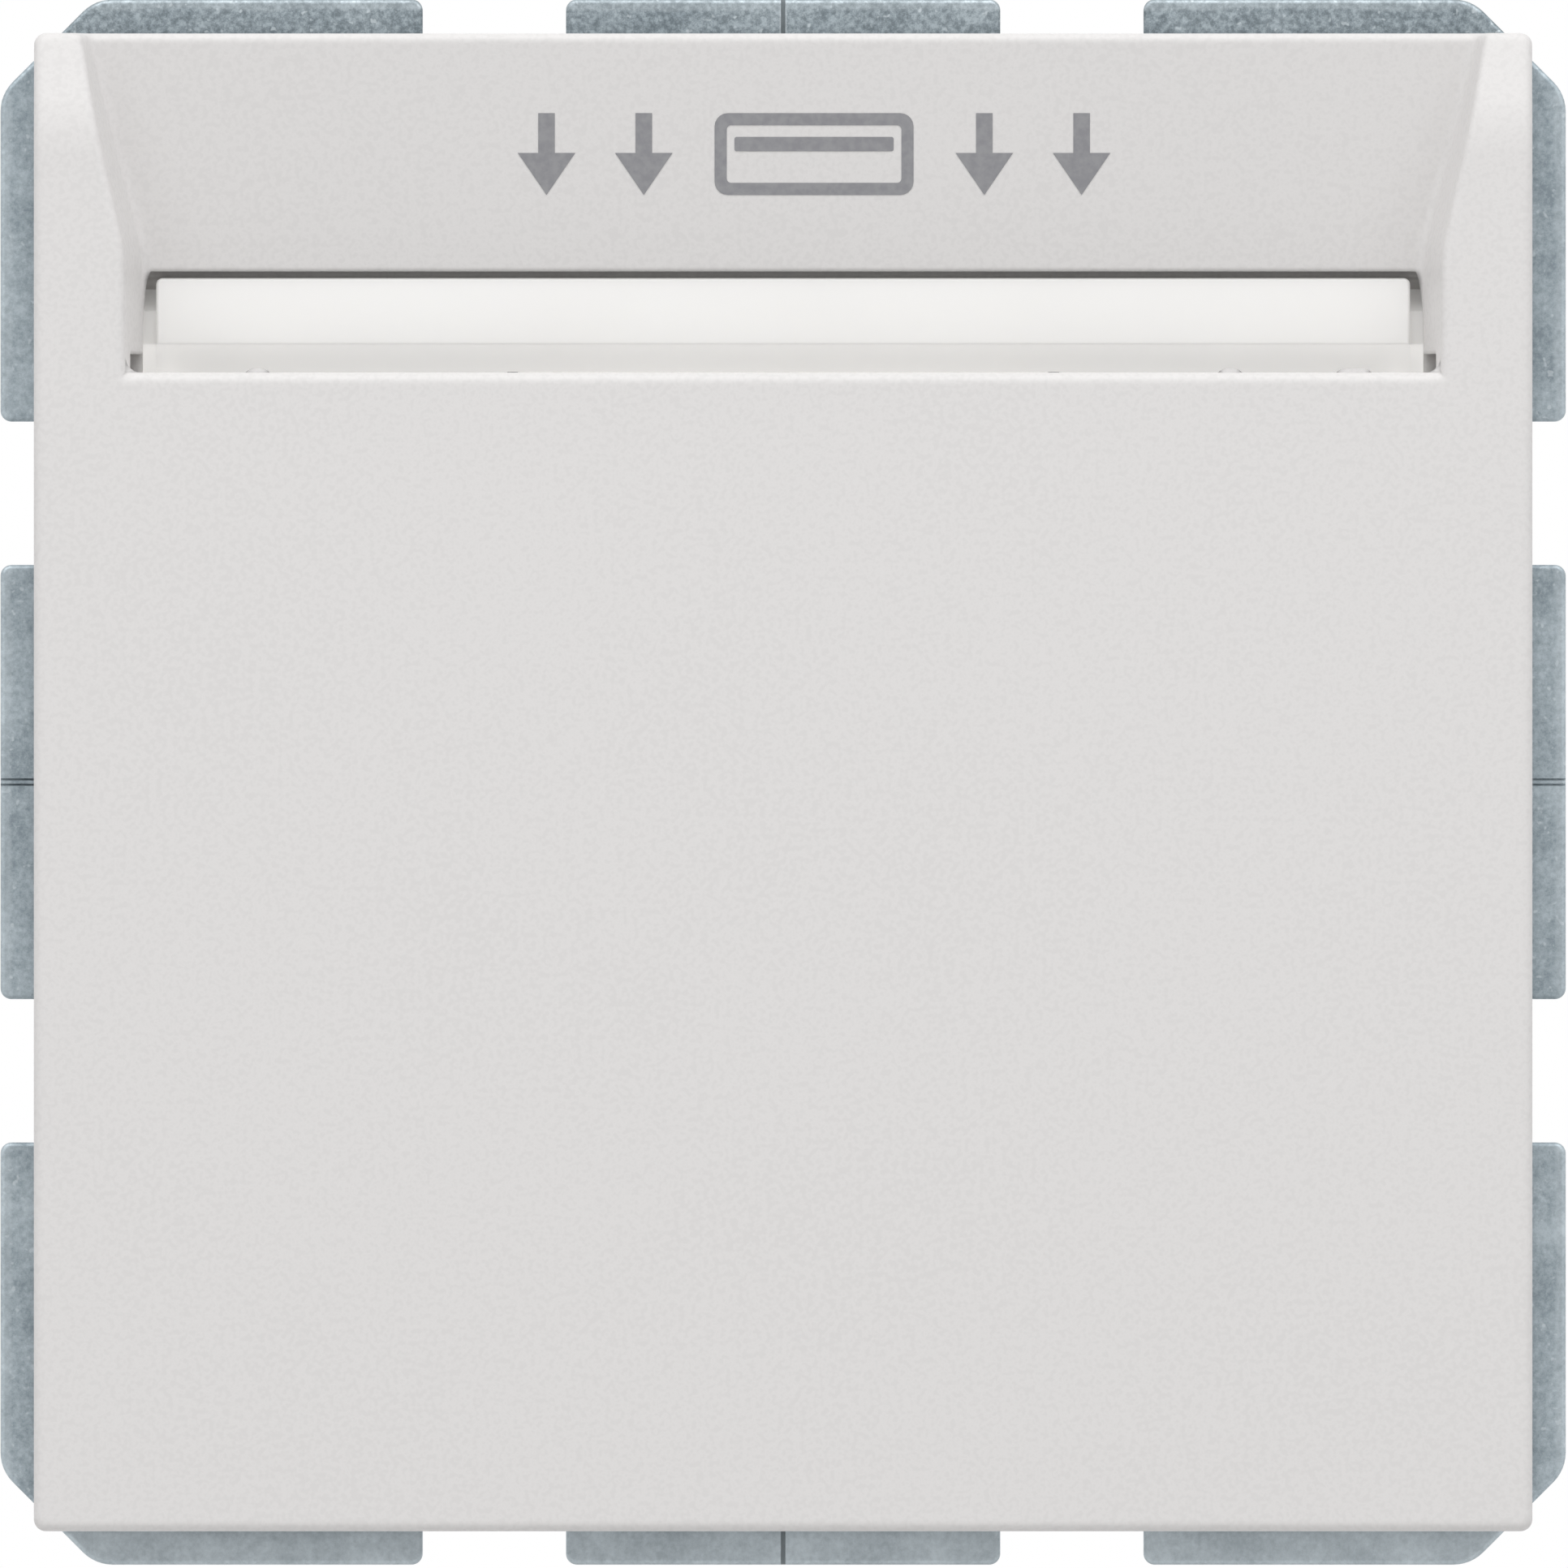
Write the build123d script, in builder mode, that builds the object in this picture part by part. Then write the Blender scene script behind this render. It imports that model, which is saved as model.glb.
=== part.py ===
"""Flush-mounted hotel key card switch: a square centre plate with a card mouth, on a steel support plate,
with the switch insert behind it.

X is to the right and Z is up. The front faces -Y, and the wall's surface is the plane Y = 0, which the
support plate's back lies on. A distance in front of the wall is called out, and one behind it deep.
"""
from build123d import *
import math
import os

os.makedirs("parts", exist_ok=True)

# The key card and the stack of pieces around it give the size of the front
card_width = 54.0
card_play = 0.4
rail_wall = 1.5
peg_room = 3.45
cover_wall = 1.5
plate_margin = 1.65
rail_inner = card_width / 2 + card_play
rail_outer = rail_inner + rail_wall
skirt_inner = rail_outer + peg_room
cover_half = skirt_inner + cover_wall
plate_half = cover_half + plate_margin

# Clearances that several pieces share
seat_play = 0.02
running_play = 0.05
sliding_play = 0.1
free_gap = 0.3
overrun = 1.0

# The stack of levels in front of the wall
plate_thickness = 1.2
cap_rise = 0.4
plunger_reach = 2.5
plunger_gap = 0.2
lever_web = 2.2
lever_to_guide = 1.1
guide_wall = 1.4
card_gap = 1.8
rib_height = 1.6
face_wall = 1.6
cap_front_out = plate_thickness + cap_rise
plunger_tip_out = cap_front_out + plunger_reach
lever_rear_out = plunger_tip_out + plunger_gap
lever_axis_out = lever_rear_out + lever_web / 2
lever_front_out = lever_rear_out + lever_web
guide_back_out = lever_front_out + lever_to_guide
guide_front_out = guide_back_out + guide_wall
rib_tip_out = guide_front_out + card_gap
face_inner_out = rib_tip_out + rib_height
cover_front_out = face_inner_out + face_wall

# Support plate
plate_corner_cut = 4.3
plate_corner_round = 1.9
plate_edge_round = 0.2
notch_width = 6.5
notch_depth = 3.2
notch_from_middle = 13.1
notch_round = 0.5
window_width = 24.0
window_height = 25.0
window_round = 2.0
box_screw_spacing = 60.0
box_slot_width = 3.6
box_slot_length = 5.6
mark_width = 0.2
mark_depth = 0.35
mark_length = 2.2
mark_pair_spacing = 0.24

# Centre plate
cover_gap = 0.8
cover_corner_round = 0.55
cover_edge_round = 0.4
facet_height = 4.2
facet_setback = 1.3
facet_blend = 7.0
cover_rear_out = plate_thickness + cover_gap
facet_z = cover_half - facet_height

# Card mouth: lip, slot and ramp
lip_z = 18.5
lip_round = 0.5
slot_height = 4.6
slot_corner_round = 0.45
slot_edge_wall = 0.6
mouth_side_bottom = 4.05
mouth_side_top = 1.85
mouth_kink_rise = 0.9
mouth_kink_blend = 6.0
mouth_corner_round = 0.7
mouth_inner_round = 0.5
mouth_draft = 10.5
ramp_lead = 0.2
ramp_top_past_foot = 1.4
ramp_wall = 1.4
ramp_top_round = 0.35
cheek_wall = 1.2
cheek_end = 0.85
slot_top_z = lip_z + slot_height

# Light bar in the mouth
bar_stand = 0.3
bar_top_gap = 0.3
bar_side_gap = 0.6
bar_thickness = 2.2
bar_facet_height = 1.55
bar_facet_setback = 0.6
bar_corner_round = 0.3
bar_edge_round = 0.15
bar_foot_gap = 0.2
flange_setback = 0.7
flange_top_drop = 0.5
flange_slope_height = 1.0
flange_slope_depth = 1.2
bar_foot_notch_width = 25.0
bar_foot_notch_rise = 0.26
bar_tongue_width = 24.0
bar_tongue_drop = 3.6
bar_tongue_thickness = 1.2
bar_front_out = guide_front_out + bar_stand
bar_rear_out = bar_front_out - bar_thickness
bar_bottom_z = lip_z - bar_foot_gap
bar_top_z = slot_top_z - bar_top_gap
bar_tongue_front_out = guide_back_out - sliding_play
bar_tongue_rear_out = bar_tongue_front_out - bar_tongue_thickness
bar_tongue_foot_z = bar_bottom_z - bar_tongue_drop
flange_front_out = bar_front_out - flange_setback
flange_top_z = bar_top_z - flange_top_drop
ramp_foot_out = bar_front_out + ramp_lead

# Guide ribs behind the face, and the pegs that hold the centre plate
rib_width = 1.3
rib_wide = 1.8
rib_rise = 0.2
rib_top_round = 0.5
rib_left_x = -23.75
rib_right_inner_x = 20.2
rib_right_outer_x = 25.8
rib_length = 24.0
peg_width = 1.4
peg_height = 4.0
peg_tip_chamfer = 0.4
peg_past_ear = 1.2
peg_top_below_lip = 6.5
peg_bottom_rise = 8.5
peg_x = (rail_outer + skirt_inner) / 2
peg_top_z = lip_z - peg_top_below_lip
peg_bottom_z = peg_bottom_rise - skirt_inner

# Card guide
guide_top_gap = 0.4
guide_bottom_gap = 1.0
guide_floor = 1.5
rail_front_gap = 0.5
ear_height = 7.0
ear_depth = 3.0
access_width = 7.5
access_past_screw = 3.75
pillar_radius = 3.1
pocket_wall = 1.2
pocket_foot_wall = 1.2
pocket_height = 2.2
shoulder_width = 6.9
shoulder_thickness = 1.4
shoulder_foot = 3.0
bezel_past_rail = 2.2
bezel_height = 2.0
bezel_top_setback = 1.3
guide_top_z = bar_bottom_z - guide_top_gap
bezel_outer = rail_outer + bezel_past_rail
bezel_low_z = bar_top_z + seat_play
bezel_top_z = bezel_low_z + bezel_height
bezel_front_out = ramp_foot_out - slot_edge_wall - sliding_play
guide_bottom_z = guide_bottom_gap - skirt_inner
guide_floor_z = guide_bottom_z + guide_floor
rail_front_out = face_inner_out - rail_front_gap
ear_rear_out = guide_front_out - ear_depth

# Card lever, its pin and its window in the guide
lever_axis_z = 4.0
lever_width = 15.6
lever_hub_radius = 1.8
lever_web_length = 15.5
lever_pin_radius = 1.0
lever_ear_wall = 1.6
lever_ear_radius = 2.6
nose_width = 12.0
nose_tip_gap = 0.4
nose_tip_drop = 17.4
nose_flat = 1.2
nose_root_drop = 6.0
nose_heel_drop = 20.0
nose_heel_out = 1.4
nose_round = 0.6
lever_window_foot = 2.0
lever_range = 8.0
nose_tip_out = rib_tip_out - nose_tip_gap
lever_ear_inner = lever_width / 2 + sliding_play
lever_ear_outer = lever_ear_inner + lever_ear_wall

# Housing behind the wall
claw_screw_x = 23.0
claw_screw_radius = 1.5
claw_screw_room = 1.5
lamp_past_bar_foot = 0.7
lamp_to_housing_top = 4.5
lamp_z = bar_bottom_z + lamp_past_bar_foot
housing_half_width = claw_screw_x - claw_screw_radius - claw_screw_room
housing_half_height = lamp_z + lamp_to_housing_top
housing_corner_width = 5.5
housing_corner_height = 6.0
housing_edge_round = 1.2
housing_rear_round = 0.7
housing_wall = 1.6
rear_wall = 1.6
cap_thickness = 1.5
boss_radius = 2.7
boss_length = 9.0
screw_from_side = 4.0
screw_from_end = 9.0
screw_x = housing_half_width - screw_from_side
screw_z = housing_half_height - screw_from_end
screw_radius = 1.25
screw_head_radius = 2.4
screw_head_height = 1.3
screw_head_sink = 0.1
screw_length = 15.5
screw_slot_width = 0.6
screw_slot_depth = 0.7
pilot_length = 7.2
shelf_deep = 6.6
shelf_wall = 1.0
shelf_below = 6.2
shelf_above = 3.2
shelf_rear_deep = shelf_deep + shelf_wall
screw_head_out = guide_front_out - screw_head_sink
screw_seat_out = screw_head_out - screw_head_height

# Contacts, from the shelf back to the make contact
terminal_from_end = 8.0
pivot_below_terminal = 4.0
terminal_x = housing_half_width / 2
terminal_z = housing_half_height - terminal_from_end
arm_pivot_z = terminal_z - pivot_below_terminal
arm_width = 5.0
arm_thickness = 0.6
arm_end_past = 1.6
arm_barrel_radius = 0.9
contact_above_terminal = 2.5
contact_z = contact_above_terminal - terminal_z
contact_radius = 1.3
contact_shank_radius = 0.7
contact_height = 0.45
contact_round = 0.15
contact_gap = 0.05
closing_gap = 0.2
strip_thickness = 0.6
strip_height = 3.0
strip_end_past = 0.6
saddle_height = 4.0
saddle_front_deep = 8.0
break_strip_rear_deep = shelf_rear_deep + strip_thickness
arm_front_deep = break_strip_rear_deep + 2 * contact_height + contact_gap
arm_mid_deep = arm_front_deep + arm_thickness / 2
arm_rear_deep = arm_front_deep + arm_thickness

# Plunger and its spring
plunger_drop = 13.0
plunger_travel = plunger_drop * math.radians(lever_range)
plunger_radius = 2.4
plunger_dome = 1.7
plunger_flange_radius = 3.5
plunger_flange = 1.0
plunger_flange_gap = 0.2
plunger_tail_radius = 1.5
tail_round = 0.5
tail_gap = 0.1
spring_wire = 0.45
spring_turns = 3.25
spring_radius = 2.3
plunger_z = lever_axis_z - plunger_drop
flange_front_deep = cap_thickness + plunger_flange_gap
flange_rear_deep = flange_front_deep + plunger_flange

# The make contact stands where the arm's contact is at the end of the plunger's travel
contact_travel = plunger_travel * (arm_pivot_z - contact_z) / (arm_pivot_z - plunger_z)
make_strip_front_deep = arm_rear_deep + 2 * contact_height + contact_travel + closing_gap
make_strip_rear_deep = make_strip_front_deep + strip_thickness
strip_to_rear_wall = 7.78
rear_inner_deep = make_strip_rear_deep + strip_to_rear_wall
housing_depth = rear_inner_deep + rear_wall

# Terminals, two in a row, and their clamps
cage_width = 9.2
cage_height = 6.0
cage_length = 8.7
cage_wall = 0.8
wire_radius = 1.4
wire_spacing = 4.6
wire_funnel = 0.5
clamp_width = 7.0
clamp_thickness = 0.4
clamp_leg_front_gap = 1.0
clamp_leg_rear_gap = 1.0
clamp_tip_gap = 0.5
cage_front_deep = rear_inner_deep - cage_length
cage_inner_x = terminal_x - cage_width / 2
cage_outer_x = terminal_x + cage_width / 2
cage_low_z = terminal_z - cage_height / 2
cage_high_z = terminal_z + cage_height / 2

# Release buttons
button_width = 5.4
button_height = 3.6
button_travel = 1.4
button_bar_width = 9.4
button_bar = 1.4
button_round = 0.4
button_stem = 5.0
button_stem_width = 2.4
button_stem_height = 1.6

# Orientation lamp
lamp_radius = 2.0
lamp_length = 10.0
lamp_wall = 0.4
lamp_end_round = 0.3
lamp_axis_out = 4.2
socket_width = 14.0
socket_height = 3.6
socket_deep = 5.0
socket_flange = 1.0
socket_flange_thickness = 0.8
pin_radius = 0.3
lamp_pin_x = 5.4
lamp_pin_deep = 7.0
electrode_radius = 0.25
electrode_gap = 1.2
electrode_length = 5.5
resistor_radius = 1.1
resistor_length = 4.0
resistor_front_out = 1.5
tongue_width = 3.0
tongue_front_deep = 5.5
tongue_gap = 0.05
resistor_rear_out = resistor_front_out - resistor_length

# Spreader claws and their screws
claw_head_radius = 2.7
claw_head_height = 1.5
claw_driver_width = 0.8
claw_driver_depth = 0.8
claw_thickness = 1.2
claw_width = 9.0
claw_bend_round = 0.5
claw_leg_from_screw = 2.4
claw_front_deep = 2.2
claw_tab_deep = 18.0
claw_tab_inner = 2.1
claw_flare_out = 2.4
claw_flare_length = 3.0
claw_tooth_depth = 0.9
claw_tooth_tip = 0.6
claw_notches = 3
claw_hole_play = 0.3
claw_screw_past_tab = 1.6


def at_out(out):
    """A plane parallel to the wall, that far in front of it, looking at the viewer."""
    return Plane.XZ.offset(out)


def side(out, z):
    """A point of a side view, drawn on the YZ plane."""
    return (-out, z)


def slab(x_range, out_range, z_range, mode=Mode.ADD):
    """A box in the part being built, between two places in X, two levels and two heights."""
    (x_low, x_high), (rear, front), (z_low, z_high) = x_range, out_range, z_range
    with Locations(((x_low + x_high) / 2, -(rear + front) / 2, (z_low + z_high) / 2)):
        Box(x_high - x_low, front - rear, z_high - z_low, mode=mode)


def rod(start, direction, radius, length, mode=Mode.ADD):
    """A cylinder in the part being built, from a start point along a direction."""
    with BuildSketch(Plane(origin=start, z_dir=direction)) as disc:
        Circle(radius)
    extrude(disc.sketch, amount=length, mode=mode)


def mirrored_x(low, high, sign):
    """A range in X on the right, or its mirror image on the left."""
    return tuple(sorted((sign * low, sign * high)))


def finish(builder, name):
    """Labels a finished piece and writes its STEP file."""
    builder.part.label = name
    export_step(builder.part, f"parts/{name}.step")


# Support plate: notched all round, with a window for the insert
def is_notch_corner(vertex):
    """Tells a notch's corners in the plate's outline from the cut corners of the plate."""
    along = min(abs(abs(vertex.X) - notch_from_middle), abs(abs(vertex.Y) - notch_from_middle))
    return along < notch_width


with BuildPart() as support_plate:
    with BuildSketch(at_out(0)) as plate_front:
        Rectangle(2 * plate_half, 2 * plate_half)
        chamfer(plate_front.vertices(), plate_corner_cut)
        fillet(plate_front.vertices(), plate_corner_round)
        with PolarLocations(plate_half, 4):
            with Locations((0, notch_from_middle), (0, -notch_from_middle)):
                Rectangle(2 * notch_depth, notch_width, mode=Mode.SUBTRACT)
        fillet(plate_front.vertices().filter_by(is_notch_corner), notch_round)
        RectangleRounded(window_width, window_height, window_round, mode=Mode.SUBTRACT)
        with PolarLocations(box_screw_spacing / 2, 4):
            SlotOverall(box_slot_length, box_slot_width, mode=Mode.SUBTRACT)
        with GridLocations(2 * screw_x, 2 * screw_z, 2, 2):
            Circle(screw_radius + sliding_play, mode=Mode.SUBTRACT)
        with Locations((claw_screw_x, 0), (-claw_screw_x, 0)):
            Circle(claw_screw_radius + free_gap, mode=Mode.SUBTRACT)
        with Locations((0, lamp_z)):
            Rectangle(
                socket_width + 2 * sliding_play, socket_height + 2 * sliding_play, mode=Mode.SUBTRACT
            )
    extrude(amount=plate_thickness)
    plate_rim = support_plate.faces().sort_by(Axis.Y)[0].outer_wire().edges()
    fillet(plate_rim, plate_edge_round)
    mark_levels = (plate_thickness - mark_depth, plate_thickness + overrun)
    for sign in (1, -1):
        mark_ends = mirrored_x(plate_half - mark_length, plate_half + overrun, sign)
        slab((-mark_width / 2, mark_width / 2), mark_levels, mark_ends, Mode.SUBTRACT)
        for pair_sign in (1, -1):
            pair_z = pair_sign * mark_pair_spacing / 2
            slab(mark_ends, mark_levels, (pair_z - mark_width / 4, pair_z + mark_width / 4), Mode.SUBTRACT)
finish(support_plate, "support_plate")


# Centre plate with its card mouth
def mouth_half(from_edge, out):
    """Half the mouth's width at one level, where its sides stand from_edge inside the cover's sides."""
    return cover_half - from_edge - (cover_front_out - out) * math.tan(math.radians(mouth_draft))


def mouth_outline(out, grow, foot_z):
    """The mouth's outline at one level, grown sideways: its sides lean outwards above the kink."""
    kink_z = slot_top_z + mouth_kink_rise
    low = mouth_half(mouth_side_bottom, out) + grow
    high = mouth_half(mouth_side_top, out) + grow
    high_past = high + (high - low) * overrun / (cover_half - kink_z)
    right = [(low, foot_z), (low, kink_z), (high_past, cover_half + overrun)]
    return right + [(-x, z) for x, z in reversed(right)]


def ramp_level(z):
    """How far out the ramp's surface lies at one height."""
    return ramp_foot_out + ramp_top_past_foot * (z - slot_top_z) / (cover_half - slot_top_z)


def is_ramp_side(edge):
    """Tells the edges where the ramp meets the mouth's sides."""
    centre = edge.center()
    on_ramp = abs(-centre.Y - ramp_level(centre.Z)) < ramp_lead / 4
    return on_ramp and abs(centre.X) > rail_inner and centre.Z > slot_top_z


def is_kink_edge(edge):
    """Tells the mouth's two kink edges, which run from front to rear."""
    centre = edge.center()
    near_kink = abs(centre.Z - slot_top_z - mouth_kink_rise) < mouth_kink_rise
    return near_kink and abs(centre.X) > rail_inner


mouth_front_out = cover_front_out + overrun
mouth_rear_out = ramp_foot_out - ramp_wall
past_top_z = cover_half + overrun

with BuildPart() as mouth_cut:
    for level in (mouth_front_out, ramp_foot_out):
        with BuildSketch(at_out(level)):
            Polygon(*mouth_outline(level, 0, lip_z - lip_round), align=None)
    loft(ruled=True)
    fillet(mouth_cut.edges().filter_by(is_kink_edge), mouth_kink_blend)
    # The cut's foot curves down over the rounded lip
    with BuildSketch(Plane.YZ):
        with BuildLine():
            Polyline(
                side(cover_front_out, lip_z - lip_round),
                side(mouth_front_out, lip_z - lip_round),
                side(mouth_front_out, past_top_z),
                side(ramp_level(past_top_z), past_top_z),
                side(ramp_foot_out, slot_top_z),
                side(ramp_foot_out, lip_z),
                side(cover_front_out - lip_round, lip_z),
            )
            TangentArc(
                side(cover_front_out - lip_round, lip_z),
                side(cover_front_out, lip_z - lip_round),
                tangent=(-1, 0),
            )
        make_face()
    extrude(amount=plate_half, both=True, mode=Mode.INTERSECT)
    fillet(mouth_cut.edges().filter_by(is_ramp_side), mouth_inner_round)
    # The foot's two corners are rounded in the front view, behind the rounded lip
    with BuildSketch(at_out(cover_front_out - lip_round)):
        for sign in (1, -1):
            lip_half = mouth_half(mouth_side_bottom, cover_front_out - lip_round)
            centre_x = sign * (lip_half - mouth_corner_round)
            with Locations((centre_x, lip_z)):
                corner_align = (Align.MIN if sign > 0 else Align.MAX, Align.CENTER)
                Rectangle(mouth_corner_round + overrun, 2 * mouth_corner_round, align=corner_align)
            with Locations((centre_x, lip_z + mouth_corner_round)):
                Circle(mouth_corner_round, mode=Mode.SUBTRACT)
    extrude(amount=-cover_front_out, mode=Mode.SUBTRACT)

with BuildPart() as mouth_shell:
    for level in (mouth_front_out, mouth_rear_out):
        with BuildSketch(at_out(level)):
            Polygon(*mouth_outline(level, cheek_wall, lip_z + cheek_end), align=None)
    loft(ruled=True)
    with BuildSketch(Plane.YZ):
        Polygon(
            side(mouth_front_out, lip_z),
            side(mouth_rear_out, lip_z),
            side(mouth_rear_out, slot_top_z),
            side(ramp_level(past_top_z) - ramp_wall, past_top_z),
            side(mouth_front_out, past_top_z),
            align=None,
        )
    extrude(amount=plate_half, both=True, mode=Mode.INTERSECT)
    # A rebate around the slot, in which the light bar's bezel lies
    slab(
        (-bezel_outer - free_gap, bezel_outer + free_gap),
        (mouth_rear_out - overrun, bezel_front_out + sliding_play),
        (lip_z - overrun, bezel_top_z + free_gap),
        Mode.SUBTRACT,
    )

with BuildPart() as cover_cavity:
    inner_facet_drop = facet_setback * (skirt_inner - facet_z) / facet_height
    with BuildSketch(Plane.YZ):
        Polygon(
            side(cover_rear_out - overrun, -skirt_inner),
            side(face_inner_out, -skirt_inner),
            side(face_inner_out, facet_z),
            side(face_inner_out - inner_facet_drop, skirt_inner),
            side(cover_rear_out - overrun, skirt_inner),
            align=None,
        )
    extrude(amount=skirt_inner, both=True)
    fillet(cover_cavity.edges().filter_by(Axis.Y), cover_corner_round)
    add(mouth_shell.part, mode=Mode.SUBTRACT)


def is_cover_rim(edge):
    """Tells the edges around the cover's front, and leaves out those across its front face."""
    centre = edge.center()
    rim = cover_half - 2 * cover_corner_round
    in_front = -centre.Y > cover_front_out - facet_setback - cover_edge_round
    return in_front and (abs(centre.X) > rim or abs(centre.Z) > rim)


def is_ramp_top(edge):
    """Tells the edge where the ramp meets the cover's top."""
    centre = edge.center()
    at_ramp = abs(-centre.Y - ramp_level(cover_half)) < ramp_top_round / 2
    return at_ramp and abs(centre.X) < ramp_top_round and centre.Z > skirt_inner + cover_wall / 2


with BuildPart() as centre_plate:
    with BuildSketch(Plane.YZ) as cover_side:
        Polygon(
            side(cover_rear_out, -cover_half),
            side(cover_front_out, -cover_half),
            side(cover_front_out, facet_z),
            side(cover_front_out - facet_setback, cover_half),
            side(cover_rear_out, cover_half),
            align=None,
        )
        fillet(cover_side.vertices().sort_by_distance(side(cover_front_out, facet_z))[0], facet_blend)
    extrude(amount=cover_half, both=True)
    fillet(centre_plate.edges().filter_by(Axis.Y), cover_corner_round)
    fillet(centre_plate.edges().filter_by(is_cover_rim), cover_edge_round)
    add(cover_cavity.part, mode=Mode.SUBTRACT)
    add(mouth_cut.part, mode=Mode.SUBTRACT)
    slot_half = mouth_half(mouth_side_bottom, ramp_foot_out)
    with BuildSketch(at_out(ramp_foot_out)) as slot_front:
        with Locations((0, lip_z)):
            Rectangle(2 * slot_half, slot_height, align=(Align.CENTER, Align.MIN))
        fillet(slot_front.vertices().group_by(Axis.Y)[-1], slot_corner_round)
    extrude(amount=-(ramp_wall + overrun), mode=Mode.SUBTRACT)
    fillet(centre_plate.edges().filter_by(is_ramp_top), ramp_top_round)
    ribs = ((rib_left_x, rib_width), (rib_right_inner_x, rib_width), (rib_right_outer_x, rib_wide))
    with BuildSketch(at_out(rib_tip_out)) as rib_fronts:
        for rib_x, width in ribs:
            with Locations((rib_x, lip_z + rib_rise)):
                Rectangle(width, rib_length, align=(Align.CENTER, Align.MAX))
        fillet(rib_fronts.vertices().group_by(Axis.Y)[-1], rib_top_round)
    extrude(amount=rib_height)
    for sign in (1, -1):
        for peg_z in (peg_top_z, peg_bottom_z):
            slab(
                mirrored_x(peg_x - peg_width / 2, peg_x + peg_width / 2, sign),
                (ear_rear_out - peg_past_ear, face_inner_out),
                (peg_z - peg_height / 2, peg_z + peg_height / 2),
            )
    peg_tips = centre_plate.faces().filter_by(Axis.Y).filter_by(
        lambda face: abs(-face.center().Y - ear_rear_out + peg_past_ear) < peg_tip_chamfer
    )
    chamfer(peg_tips.edges(), peg_tip_chamfer)
finish(centre_plate, "centre_plate")


# Light bar: a diffuser across the slot, with a tongue that takes the lamp's light
with BuildPart() as light_bar:
    bar_half = slot_half - bar_side_gap
    with BuildSketch(Plane.YZ):
        Polygon(
            side(bar_front_out, bar_top_z),
            side(bar_rear_out, bar_top_z),
            side(bar_rear_out, bar_bottom_z),
            side(bar_front_out - bar_facet_setback, bar_bottom_z),
            side(bar_front_out, bar_bottom_z + bar_facet_height),
            align=None,
        )
    extrude(amount=bar_half, both=True)
    fillet(light_bar.edges().filter_by(Axis.Y).group_by(Axis.Z)[-1], bar_corner_round)
    bar_face = light_bar.faces().sort_by(Axis.Y)[0]
    fillet(bar_face.edges(), bar_edge_round)
    slab(
        (-bar_foot_notch_width / 2, bar_foot_notch_width / 2),
        (bar_rear_out, bar_front_out),
        (bar_bottom_z, bar_bottom_z + bar_foot_notch_rise),
        Mode.SUBTRACT,
    )
    slab(
        (-bar_tongue_width / 2, bar_tongue_width / 2),
        (bar_tongue_rear_out, bar_tongue_front_out),
        (bar_tongue_foot_z, bar_top_z - bar_corner_round),
    )
    # The flanges at the bar's ends, as wide as the slot, which lean back at the top
    for sign in (1, -1):
        with BuildSketch(Plane.YZ.offset(mirrored_x(bar_half, slot_half, sign)[0])):
            Polygon(
                side(flange_front_out, bar_bottom_z),
                side(flange_front_out, flange_top_z - flange_slope_height),
                side(flange_front_out - flange_slope_depth, flange_top_z),
                side(bar_rear_out, flange_top_z),
                side(bar_rear_out, bar_bottom_z),
                align=None,
            )
        extrude(amount=slot_half - bar_half)
finish(light_bar, "light_bar")


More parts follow.
